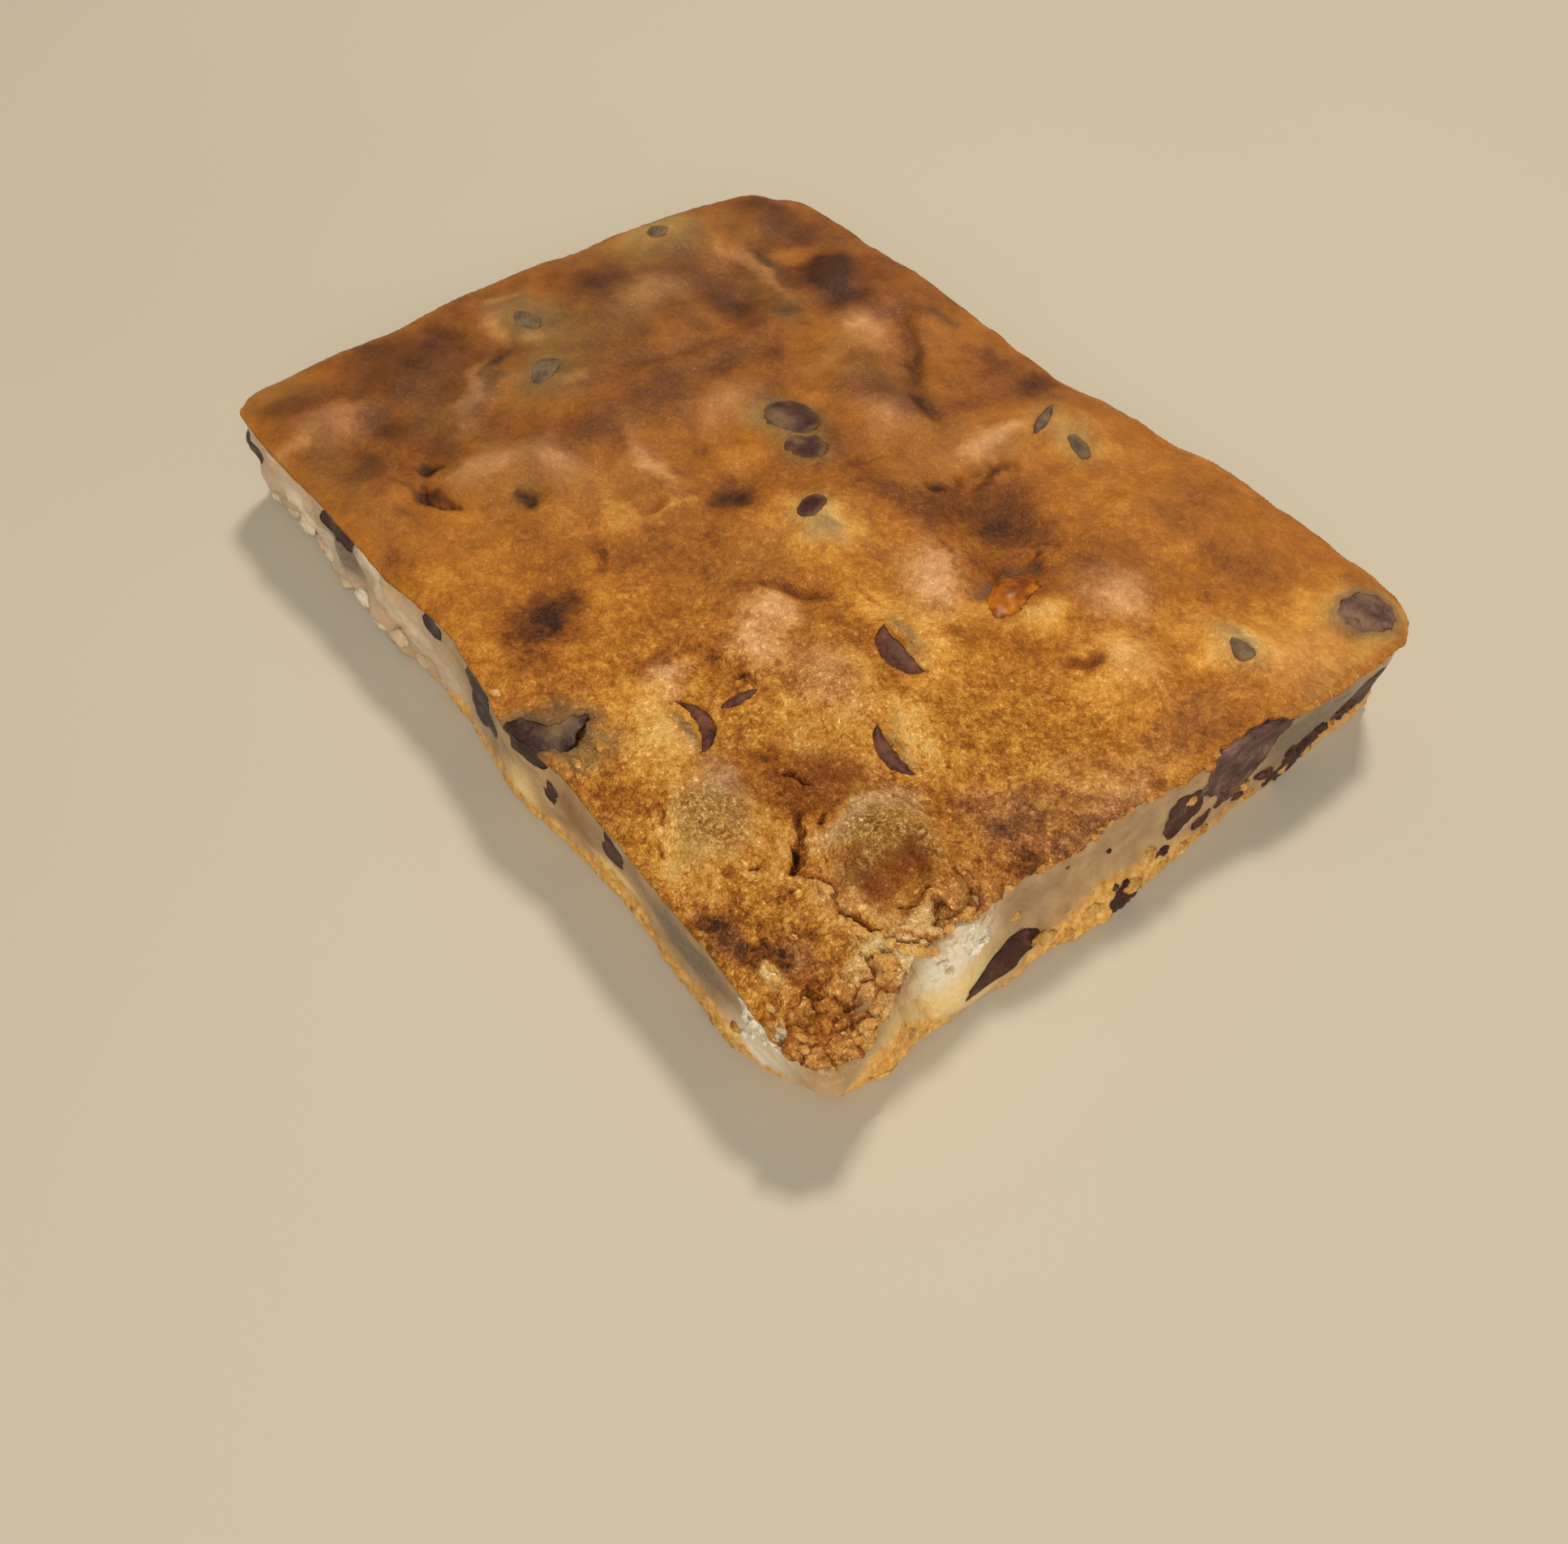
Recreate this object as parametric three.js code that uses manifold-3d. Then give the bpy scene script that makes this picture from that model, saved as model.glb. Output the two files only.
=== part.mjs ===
import * as THREE from 'three';
import { mergeVertices } from 'three/addons/utils/BufferGeometryUtils.js';
import Module from 'manifold-3d';

const wasm = await Module();
wasm.setup();

// Almond flour blondie: a knife-cut slab with chocolate chips, in millimetres, +Z up.
// The origin is the middle of the underside's box. +X runs along the long side, and the
// cut faces with the most to see are the long one at -Y and the short one at +X.

// Driving dimensions
const slabHeight = 15;
const gridLong = 50; // squares of the top surface along X
const gridShort = 37; // squares of the top surface along Y
const wallLevels = [1, 0.84, 0.58, 0.32, 0.09, 0]; // share of the height, crust to underside
const chipGap = 0.35; // air between a chip and the food around it
const chipSink = 0.45; // how far a chip seen through the crust lies below it
const chipDepth = 3.2; // how deep an opening in the crust goes
const lumpUnevenness = 0.22; // how far a cut piece's points stray, as a share of its size
const openingSteps = 6; // points along one rim of an opening
const waveCount = 6;
const longestWave = 38;

// The outline seen from above: four corners, rounded, and where the knife line swells out or in.
const corners = [
  { at: [-61.0, -43.9], radius: 6 },
  { at: [58.4, -44.0], radius: 3.4 },
  { at: [60.1, 44.6], radius: 8.5 },
  { at: [-57.8, 44.8], radius: 10 },
];
const swells = [
  { at: [-10, -44], out: -1.0, reach: 9 },
  { at: [7, -44], out: 0.9, reach: 4.5 },
  { at: [17, -44], out: -0.5, reach: 4 },
  { at: [50, -44], out: 0.8, reach: 5 },
  { at: [58.6, -31], out: -2.9, reach: 6.5 },
  { at: [58.8, -18], out: -3.8, reach: 9 },
  { at: [59.1, -2], out: -3.0, reach: 9.5 },
  { at: [59.4, 14], out: -1.3, reach: 8 },
  { at: [34, 45], out: 1.2, reach: 13 },
  { at: [0, 45], out: -1.1, reach: 11 },
  { at: [-59.5, 2], out: 3.6, reach: 25 },
  { at: [-58, 36], out: -0.6, reach: 6 },
];

// Relief of the crust: at, half sizes, turn in degrees and rise. A negative rise is a hollow.
const relief = [
  { at: [27, -2.5], size: [5, 3.6], turn: 0, rise: 1.1 },
  { at: [35.5, -11.4], size: [5, 3.4], turn: -8, rise: 1.0 },
  { at: [19.8, -33.2], size: [5.5, 4.2], turn: 0, rise: 1.1 },
  { at: [5.6, 0.6], size: [6, 3.4], turn: -20, rise: 0.9 },
  { at: [44.5, -24.2], size: [6.4, 5.6], turn: 0, rise: 1.5 },
  { at: [31, -35], size: [5.4, 5], turn: 0, rise: 1.2 },
  { at: [42.5, 11], size: [5, 5], turn: 0, rise: 0.9 },
  { at: [32.5, 10.5], size: [2.4, 3.6], turn: 0, rise: 0.9 },
  { at: [-10, 9], size: [7.5, 4.5], turn: 0, rise: 0.8 },
  { at: [-9.8, -13], size: [4, 5.4], turn: 0, rise: 0.8 },
  { at: [-17.3, 23.6], size: [4.6, 4.6], turn: 0, rise: 0.8 },
  { at: [-33.5, 34.5], size: [4.8, 4.8], turn: 0, rise: 1.0 },
  { at: [12.2, 37], size: [5, 5], turn: 0, rise: 0.9 },
  { at: [-52, -5], size: [5.5, 4.2], turn: 0, rise: 0.9 },
  { at: [-40, -9], size: [5, 4], turn: -40, rise: 0.7 },
  { at: [-54.5, 22.5], size: [4, 5], turn: 0, rise: 0.8 },
  { at: [54.6, 38], size: [4, 4.5], turn: 0, rise: 0.9 },
  { at: [50, 23], size: [4, 3.4], turn: 0, rise: 0.7 },
  { at: [-41.5, -18], size: [7, 2.4], turn: -60, rise: 0.8 },
  { at: [-27.5, -23], size: [3.6, 7], turn: 0, rise: 0.8 },
  { at: [-47.5, -35], size: [4.2, 4.6], turn: 0, rise: 0.8 },
  { at: [-4.5, 19.5], size: [6.5, 4.6], turn: 0, rise: 0.8 },
  { at: [8, 29.5], size: [3, 5.5], turn: 10, rise: 0.7 },
  { at: [12, -12.5], size: [4.4, 3.6], turn: 20, rise: 0.9 },
  { at: [25, -15], size: [6, 4], turn: 0, rise: 0.5 },
  { at: [19, 4.5], size: [5, 4.6], turn: 0, rise: 0.7 },
  { at: [35.5, 19], size: [5, 4.6], turn: 0, rise: 0.6 },
  { at: [-42, 30], size: [7.5, 3.2], turn: -8, rise: 0.7 },
  { at: [17, 18.5], size: [8.5, 6.5], turn: 0, rise: -0.7 },
  { at: [-2.5, -33], size: [5, 6], turn: 0, rise: -0.6 },
  { at: [-38, 20.5], size: [6.5, 5], turn: 0, rise: -0.6 },
  { at: [-5.8, -4.5], size: [4, 5], turn: 0, rise: -0.5 },
  { at: [0, -20], size: [11, 6], turn: 0, rise: -0.6 },
  { at: [-24, 4], size: [10, 9], turn: 0, rise: -0.6 },
  { at: [-10, -13.3], size: [1.5, 2], turn: 0, rise: -1.1 },
  { at: [-17.3, 23.6], size: [1.6, 2.2], turn: 0, rise: -1.0 },
  { at: [-20.3, -23.7], size: [1.7, 2.3], turn: 0, rise: -1.2 },
  { at: [40, 8.5], size: [1.7, 2.2], turn: 0, rise: -0.9 },
  { at: [-28, -32.5], size: [4.5, 1.8], turn: 25, rise: -0.9 },
  { at: [56, -42], size: [9, 8], turn: 0, rise: -2.0 },
];

// Chips seen through a gap in the crust. A crescent has its tips half a length either side of
// its place, and its two rims bow away from the line between them. An oval has half sizes.
const crustChips = [
  { at: [26.6, -5.1], length: 8, bows: [-3.3, -1.1], turn: -6 },
  { at: [35.9, -14.7], length: 7.4, bows: [-2.7, -0.9], turn: -5 },
  { at: [19.7, -30.2], length: 8, bows: [3.0, 1.2], turn: 0 },
  { at: [20.2, -23.6], length: 4.4, bows: [0.9, -0.6], turn: 84 },
  { at: [2.7, 1.8], size: [1.5, 2.2], turn: 15 },
  { at: [-12.2, 9.9], size: [4.4, 2.7], turn: 20 },
  { at: [-5.4, 8.6], size: [2.1, 1.7], turn: 0 },
  { at: [-50.3, -4.9], size: [2.2, 1.8], turn: 20 },
  { at: [-39.4, -9.2], size: [1.6, 2.8], turn: 35 },
  { at: [-55.6, 20.8], size: [1.6, 1.4], turn: 0 },
  { at: [49.8, 22.4], size: [2.0, 1.3], turn: -15 },
  { at: [8.7, 34.3], length: 6.6, bows: [0.9, -0.7], turn: -66 },
  { at: [15, 34.5], size: [2.0, 0.9], turn: -8 },
];

// Where the cut faces swell out or in: place, height, how far out, and reach along and up.
const faceSwells = [
  { at: [44, -44], z: 3.2, out: 0.9, along: 4, up: 3.4 },
  { at: [27, -44], z: 4, out: -0.6, along: 7, up: 5 },
  { at: [7.7, -44], z: 4.5, out: 0.2, along: 4, up: 3 },
  { at: [-4, -44], z: 4, out: -0.3, along: 7, up: 6 },
  { at: [-16, -44], z: 4, out: -0.6, along: 7, up: 6 },
  { at: [-38, -44], z: 3, out: -0.4, along: 10, up: 5 },
  { at: [-50, -44], z: 1, out: -0.8, along: 7, up: 6 },
  { at: [-60, -44], z: 9, out: 0.6, along: 5, up: 4 },
  { at: [58, -34], z: 5, out: 0.9, along: 4, up: 4.5 },
  { at: [58, -25], z: 5.5, out: 1.5, along: 4.5, up: 5 },
  { at: [58, -19], z: 1, out: 1.1, along: 4.5, up: 4 },
  { at: [58.5, -4], z: 2.5, out: 2.5, along: 11, up: 3.6 },
  { at: [59, 17], z: 11, out: -0.5, along: 6, up: 3 },
  { at: [59.5, 21], z: 2, out: 0.4, along: 8, up: 3 },
  { at: [60, 33], z: 2, out: -0.5, along: 6, up: 6 },
];

// Below the crumbled corner the base stands in: place, how far in, and reach along and up.
const cornerTuck = { at: [58, -44], shift: [-2.7, 2.8], along: 6.5, up: 6.5 };

// The walls lean in towards the base, except at the long cut face, where they flare out a little.
const wallLean = 0.6;
const frontFlare = 0.8;
const baseRound = 0.5;

// Small uneven waves of the walls: count round the slab, slant, start and height.
const wallWaves = [
  { count: 23, slant: 5, start: 0, height: 0.16 },
  { count: 37, slant: -8, start: 1.3, height: 0.16 },
  { count: 61, slant: 13, start: 0.6, height: 0.09 },
  { count: 83, slant: -17, start: 0, height: 0.09 },
];

// How far the crust rounds down at its edges, more on the two far sides than at the near cuts,
// and how far in that reaches. The spans are the crust's rough length and width.
const edgeDrop = { front: 0.35, right: 0.4, back: 0.9, far: 0.9, reach: 1.6 };
const crustSpan = { long: 118, short: 88 };

// The numbers above and below are measured from the middle of the straight sides. This moves
// the whole slab so that its box, with the swells and torn corners, is centred over the origin.
const middleShift = [1.47, -0.43, 0];

// Pieces cut through at a face or an edge: place, half sizes, turn about Z in degrees.
const longFaceChips = [
  { at: [-58.6, -41.4, 10.4], size: [4.4, 3.8, 4.4], turn: 30 },
  { at: [-32.6, -42.6, 12], size: [3.2, 2.6, 2.6], turn: 0 },
  { at: [-11.8, -42, 12.6], size: [1.9, 2.2, 1.9], turn: 0 },
  { at: [-1, -42.5, 9.6], size: [3.2, 2.8, 4.6], turn: 0 },
  { at: [9.6, -41.2, 12.8], size: [3.4, 5.0, 3.7], turn: -14 },
  { at: [13.4, -42.8, 8.6], size: [1.5, 2.1, 2.2], turn: 0 },
  { at: [24.8, -42.6, 10.7], size: [1.9, 2.3, 2.6], turn: 0 },
];
const shortFaceChips = [
  { at: [57.6, -19.6, 4.4], size: [2.6, 4.4, 4.2], turn: 4 },
  { at: [59.2, -2.4, 2.7], size: [1.9, 2.4, 2.0], turn: 0 },
  { at: [57.6, 6.6, 8.2], size: [2.4, 3.3, 3.2], turn: 0 },
  { at: [57.8, 16.2, 9.4], size: [2.8, 5.6, 4.6], turn: 0 },
  { at: [59.2, 25.8, 3.6], size: [2.4, 4.3, 2.9], turn: 0 },
  { at: [59.2, 36.6, 5.8], size: [2.6, 4.6, 3.6], turn: 0 },
];
const cornerChip = { at: [54.9, 38.2, 13.8], size: [3.4, 3.9, 2.6], turn: 0 };
const caramelLump = { at: [28, 10.5, 14.6], size: [2.4, 3.5, 1.7], turn: 10 };
const longFaceFlake = { at: [48.4, -43.8, 8.9], size: [2.6, 1.5, 4.0], turn: -4 };
const shortFaceFlake = { at: [55.6, -24.4, 13.1], size: [1.5, 2.6, 1.9], turn: 6 };

// The crack across the crust near the front corner: points of its middle line and half widths.
const crackLine = [
  [36, -28.4, 0.12],
  [37.9, -29.8, 0.36],
  [39.6, -31.3, 0.5],
  [41.1, -32.8, 0.34],
  [43.2, -31.5, 0.16],
  [47, -32.3, 0.22],
  [50, -30.7, 0.3],
  [53.4, -28.4, 0.34],
];
const crackDepth = 2.6;

// Torn places: pits and standing crumbs along the ragged edge, and in the crumbled corner.
const tornEdge = { x: 55.4, fromY: -37, toY: 2, pits: 8, crumbs: 6, size: 1.3 };
const tornCorner = { at: [53.6, -39.2], spread: [3.4, 3.6], pits: 7, crumbs: 9, size: 1.25 };
const drawSeed = 71;

const degree = Math.PI / 180;

function drawsFrom(seed) {
  let state = seed;
  return () => {
    state = (state * 16807) % 2147483647;
    return state / 2147483647;
  };
}

// A solid for cutting and joining, from any closed geometry.
function solidOf(geometry) {
  const bare = geometry.clone();
  bare.deleteAttribute('normal');
  bare.deleteAttribute('uv');
  const merged = mergeVertices(bare, 1e-4);
  return new wasm.Manifold(new wasm.Mesh({
    numProp: 3,
    vertProperties: new Float32Array(merged.attributes.position.array),
    triVerts: new Uint32Array(merged.index.array),
  }));
}

function geometryOf(solid) {
  const mesh = solid.getMesh();
  const geometry = new THREE.BufferGeometry();
  geometry.setAttribute('position', new THREE.BufferAttribute(new Float32Array(mesh.vertProperties), 3));
  geometry.setIndex(new THREE.BufferAttribute(new Uint32Array(mesh.triVerts), 1));
  geometry.computeVertexNormals();
  return geometry;
}

// Outline from above
function cornerPath() {
  const path = new THREE.Path();
  const count = corners.length;
  corners.forEach((corner, i) => {
    const here = new THREE.Vector2(...corner.at);
    const before = new THREE.Vector2(...corners[(i + count - 1) % count].at);
    const after = new THREE.Vector2(...corners[(i + 1) % count].at);
    const into = here.clone().add(before.sub(here).setLength(corner.radius));
    const onward = here.clone().add(after.sub(here).setLength(corner.radius));
    if (i === 0) path.moveTo(into.x, into.y);
    else path.lineTo(into.x, into.y);
    path.quadraticCurveTo(here.x, here.y, onward.x, onward.y);
  });
  path.closePath();
  return path;
}

const outlinePath = cornerPath();

// Where each rounded corner's middle lies along the outline, as a share of its length.
function cornerShares() {
  const lengths = outlinePath.getCurveLengths();
  const total = outlinePath.getLength();
  return corners.map((corner, i) => {
    const end = lengths[2 * i];
    const start = i === 0 ? 0 : lengths[2 * i - 1];
    return (start + end) / 2 / total;
  });
}

const cornerAt = cornerShares();

function swellAt(point) {
  return swells.reduce((sum, swell) => {
    const away = point.distanceTo(new THREE.Vector2(...swell.at)) / swell.reach;
    return sum + swell.out * Math.exp(-away * away);
  }, 0);
}

function faceSwellAt(point, z) {
  return faceSwells.reduce((sum, swell) => {
    const along = point.distanceTo(new THREE.Vector2(...swell.at)) / swell.along;
    const up = (z - swell.z) / swell.up;
    return sum + swell.out * Math.exp(-along * along - up * up);
  }, 0);
}

// The waves of the cut faces, from sines along the outline and up the wall.
function wallRipple(share, level) {
  const turn = share * 2 * Math.PI;
  return wallWaves.reduce((sum, wave) => {
    return sum + wave.height * Math.sin(wave.count * turn + wave.slant * level + wave.start);
  }, 0);
}

// A point of the outline at a height level, 1 at the crust and 0 at the underside.
function outlinePoint(share, level) {
  const wrapped = ((share % 1) + 1) % 1;
  const point = outlinePath.getPointAt(wrapped);
  const along = outlinePath.getTangentAt(wrapped);
  const swell = swellAt(point) * (0.4 + 0.6 * level);
  const flare = frontFlare * THREE.MathUtils.clamp((-30 - point.y) / 10, 0, 1);
  const lean = (wallLean - flare) * (1 - level) ** 0.8 + baseRound * Math.exp(-level / 0.05);
  const ripple = wallRipple(wrapped, level) * (level < 1 ? 1 : 0.6);
  const out = swell - lean + ripple + faceSwellAt(point, level * slabHeight);
  const cornerAway = point.distanceTo(new THREE.Vector2(...cornerTuck.at)) / cornerTuck.along;
  const pull = Math.exp(-(cornerAway ** 2) - (level * slabHeight / cornerTuck.up) ** 2);
  const shift = new THREE.Vector2(...cornerTuck.shift).multiplyScalar(pull);
  return new THREE.Vector2(point.x + along.y * out, point.y - along.x * out).add(shift);
}

// Points of one side, from corner middle to corner middle.
function sidePoint(side, share) {
  const from = cornerAt[side];
  const to = side === 3 ? cornerAt[0] + 1 : cornerAt[side + 1];
  return outlinePoint(from + (to - from) * share, 1);
}

// The top surface fills the outline from its four sides, as a Coons patch.
function topPlan(s, t) {
  const front = sidePoint(0, s);
  const right = sidePoint(1, t);
  const back = sidePoint(2, 1 - s);
  const far = sidePoint(3, 1 - t);
  const blend = new THREE.Vector2();
  blend.addScaledVector(front, 1 - t).addScaledVector(back, t);
  blend.addScaledVector(far, 1 - s).addScaledVector(right, s);
  blend.addScaledVector(sidePoint(0, 0), -(1 - s) * (1 - t));
  blend.addScaledVector(sidePoint(0, 1), -s * (1 - t));
  blend.addScaledVector(sidePoint(2, 0), -s * t);
  blend.addScaledVector(sidePoint(2, 1), -(1 - s) * t);
  return blend;
}

// Broad uneven waves of a baked top, each shorter and turned by the golden angle.
function bakedWaves(x, y) {
  let height = 0;
  for (let i = 0; i < waveCount; i += 1) {
    const length = longestWave * 0.74 ** i;
    const heading = 0.7 + 2.4 * i;
    const phase = (x * Math.cos(heading) + y * Math.sin(heading)) * 2 * Math.PI / length;
    height += 0.0085 * length * Math.sin(phase + 1.9 * i * i);
  }
  return height;
}

function crustHeight(x, y) {
  const rises = relief.map((bump) => {
    const turn = bump.turn * degree;
    const dx = x - bump.at[0];
    const dy = y - bump.at[1];
    const a = (dx * Math.cos(turn) + dy * Math.sin(turn)) / bump.size[0];
    const b = (dy * Math.cos(turn) - dx * Math.sin(turn)) / bump.size[1];
    return bump.rise * Math.exp(-((a * a + b * b) ** 1.3));
  });
  return slabHeight + bakedWaves(x, y) + rises.reduce((sum, rise) => sum + rise, 0);
}

// How far the crust's rim is rounded down at a place of the grid.
function edgeDroop(s, t) {
  const nearFront = edgeDrop.front * Math.exp(-t * crustSpan.short / edgeDrop.reach);
  const nearRight = edgeDrop.right * Math.exp(-(1 - s) * crustSpan.long / edgeDrop.reach);
  const nearBack = edgeDrop.back * Math.exp(-(1 - t) * crustSpan.short / edgeDrop.reach);
  const nearFar = edgeDrop.far * Math.exp(-s * crustSpan.long / edgeDrop.reach);
  return nearFront + nearRight + nearBack + nearFar;
}

// The whole slab: top surface, wall rings down to the underside, and the flat underside.
function slabGeometry() {
  const top = new THREE.PlaneGeometry(1, 1, gridLong, gridShort);
  const spots = top.attributes.position;
  for (let i = 0; i < spots.count; i += 1) {
    const s = spots.getX(i) + 0.5;
    const t = spots.getY(i) + 0.5;
    const plan = topPlan(s, t);
    spots.setXYZ(i, plan.x, plan.y, crustHeight(plan.x, plan.y) - edgeDroop(s, t));
  }
  const vertices = Array.from(spots.array);
  const triangles = Array.from(top.index.array);

  // The grid's rim, walked anticlockwise from the front left corner.
  const row = gridLong + 1;
  const rim = [];
  for (let i = 0; i < gridLong; i += 1) rim.push({ vertex: gridShort * row + i, side: 0, share: i / gridLong });
  for (let j = 0; j < gridShort; j += 1) {
    rim.push({ vertex: (gridShort - j) * row + gridLong, side: 1, share: j / gridShort });
  }
  for (let i = 0; i < gridLong; i += 1) rim.push({ vertex: gridLong - i, side: 2, share: i / gridLong });
  for (let j = 0; j < gridShort; j += 1) rim.push({ vertex: j * row, side: 3, share: j / gridShort });

  let ring = rim.map((spot) => spot.vertex);
  wallLevels.slice(1).forEach((level) => {
    const next = rim.map((spot) => {
      const from = cornerAt[spot.side];
      const to = spot.side === 3 ? cornerAt[0] + 1 : cornerAt[spot.side + 1];
      const plan = outlinePoint(from + (to - from) * spot.share, level);
      vertices.push(plan.x, plan.y, vertices[3 * spot.vertex + 2] * level);
      return vertices.length / 3 - 1;
    });
    ring.forEach((upper, i) => {
      const following = (i + 1) % ring.length;
      triangles.push(upper, next[i], next[following], upper, next[following], ring[following]);
    });
    ring = next;
  });

  const underside = ring.map((vertex) => new THREE.Vector2(vertices[3 * vertex], vertices[3 * vertex + 1]));
  THREE.ShapeUtils.triangulateShape(underside, []).forEach(([a, b, c]) => {
    triangles.push(ring[a], ring[c], ring[b]);
  });

  const geometry = new THREE.BufferGeometry();
  geometry.setAttribute('position', new THREE.Float32BufferAttribute(vertices, 3));
  geometry.setIndex(triangles);
  return geometry;
}

// The gap in the crust over a chip: a crescent between two bowed rims, or an oval.
function openingOutline(chip) {
  const shape = new THREE.Shape();
  if (chip.size) {
    shape.absellipse(0, 0, chip.size[0], chip.size[1], 0, 2 * Math.PI);
  } else {
    const tip = chip.length / 2;
    shape.moveTo(-tip, 0);
    shape.quadraticCurveTo(0, 2 * chip.bows[0], tip, 0);
    shape.quadraticCurveTo(0, 2 * chip.bows[1], -tip, 0);
  }
  const points = shape.getPoints(openingSteps).slice(0, -1);
  return THREE.ShapeUtils.isClockWise(points) ? points.reverse() : points;
}

// Moves each point of a closed outline outwards, further at a sharp tip.
function grownOutline(points, grow) {
  const count = points.length;
  return points.map((point, i) => {
    const into = point.clone().sub(points[(i + count - 1) % count]).normalize();
    const onward = points[(i + 1) % count].clone().sub(point).normalize();
    const outInto = new THREE.Vector2(into.y, -into.x);
    const outOnward = new THREE.Vector2(onward.y, -onward.x);
    const out = outInto.clone().add(outOnward).normalize();
    return point.clone().addScaledVector(out, grow / Math.max(0.4, out.dot(outInto)));
  });
}

function openingSolid(chip, grow) {
  const shape = new THREE.Shape(grownOutline(openingOutline(chip), grow));
  const geometry = new THREE.ExtrudeGeometry(shape, { depth: chipDepth + 4, bevelEnabled: false });
  geometry.rotateZ(chip.turn * degree);
  geometry.translate(chip.at[0], chip.at[1], slabHeight - chipDepth - grow);
  return solidOf(geometry);
}

// An uneven rounded piece: a faceted ball with its points pushed in and out, then stretched.
function lumpGeometry(size, detail, unevenness, seed) {
  const geometry = new THREE.IcosahedronGeometry(1, detail);
  geometry.deleteAttribute('normal');
  geometry.deleteAttribute('uv');
  const ball = mergeVertices(geometry, 1e-4);
  const draw = drawsFrom(seed);
  const spots = ball.attributes.position;
  for (let i = 0; i < spots.count; i += 1) {
    const push = 1 + unevenness * (draw() - 0.5);
    spots.setXYZ(i, spots.getX(i) * push * size[0], spots.getY(i) * push * size[1], spots.getZ(i) * push * size[2]);
  }
  return ball;
}

function placedLump(piece, grow, seed) {
  const size = piece.size.map((half) => half + grow);
  const geometry = lumpGeometry(size, 1, lumpUnevenness, seed);
  geometry.rotateZ(piece.turn * degree);
  geometry.translate(...piece.at);
  return solidOf(geometry);
}

function crackSolid() {
  const shape = new THREE.Shape();
  const last = crackLine.length - 1;
  const rimOf = (sign) => crackLine.map(([x, y, half], i) => {
    const [x0, y0] = crackLine[Math.max(i - 1, 0)];
    const [x1, y1] = crackLine[Math.min(i + 1, last)];
    const along = new THREE.Vector2(x1 - x0, y1 - y0).normalize();
    return new THREE.Vector2(x - along.y * half * sign, y + along.x * half * sign);
  });
  shape.setFromPoints([...rimOf(-1), ...rimOf(1).reverse()]);
  const geometry = new THREE.ExtrudeGeometry(shape, { depth: crackDepth + 4, bevelEnabled: false });
  geometry.translate(0, 0, slabHeight - crackDepth);
  return solidOf(geometry);
}

// Pits are cut and crumbs are joined at drawn places along the torn edge and in the corner.
function tearSlab(slab) {
  const draw = drawsFrom(drawSeed);
  const pitAt = (x, y, z, size) => {
    const pit = lumpGeometry([size, size * 1.2, size * 0.8], 0, 0.4, 11 + Math.floor(draw() * 900));
    return solidOf(pit.translate(x, y, z));
  };
  let torn = slab;
  for (let i = 0; i < tornEdge.pits; i += 1) {
    const y = tornEdge.fromY + (tornEdge.toY - tornEdge.fromY) * (i + draw()) / tornEdge.pits;
    const x = tornEdge.x + 0.8 + 1.2 * draw();
    torn = torn.subtract(pitAt(x, y, slabHeight + 0.1, tornEdge.size * (0.7 + 0.6 * draw())));
  }
  for (let i = 0; i < tornCorner.pits; i += 1) {
    const x = tornCorner.at[0] + tornCorner.spread[0] * (2 * draw() - 1);
    const y = tornCorner.at[1] + tornCorner.spread[1] * (2 * draw() - 1);
    torn = torn.subtract(pitAt(x, y, crustHeight(x, y), tornCorner.size * (0.6 + 0.5 * draw())));
  }
  for (let i = 0; i < tornEdge.crumbs; i += 1) {
    const y = tornEdge.fromY + (tornEdge.toY - tornEdge.fromY) * (i + draw()) / tornEdge.crumbs;
    torn = torn.add(pitAt(tornEdge.x - 0.8 * draw(), y, slabHeight - 0.5, 0.9 + 0.5 * draw()));
  }
  for (let i = 0; i < tornCorner.crumbs; i += 1) {
    const x = tornCorner.at[0] + tornCorner.spread[0] * (2 * draw() - 1);
    const y = tornCorner.at[1] + tornCorner.spread[1] * (2 * draw() - 1);
    torn = torn.add(pitAt(x, y, crustHeight(x, y) - 0.3, 0.8 + 0.5 * draw()));
  }
  return torn;
}

// Materials
const crustMaterial = new THREE.MeshStandardMaterial({ color: '#b9752f', roughness: 0.5, metalness: 0 });
const chipMaterial = new THREE.MeshStandardMaterial({ color: '#4a2f28', roughness: 0.4, metalness: 0 });
const caramelMaterial = new THREE.MeshStandardMaterial({ color: '#a4560f', roughness: 0.2, metalness: 0 });
const flakeMaterial = new THREE.MeshStandardMaterial({ color: '#e4dcc8', roughness: 0.7, metalness: 0 });

const blondie = new THREE.Group();

function addPiece(name, solid, material) {
  const mesh = new THREE.Mesh(geometryOf(solid).translate(...middleShift), material.clone());
  mesh.name = name;
  blondie.add(mesh);
}

const wholeSlab = solidOf(slabGeometry());
const sunkSlab = solidOf(slabGeometry().translate(0, 0, -chipSink));
let slab = tearSlab(wholeSlab.subtract(crackSolid()));

// Chips under a gap in the crust
crustChips.forEach((chip, i) => {
  addPiece(`chip_crust_${i + 1}`, openingSolid(chip, 0).intersect(sunkSlab), chipMaterial);
  slab = slab.subtract(openingSolid(chip, chipGap));
});

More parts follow.
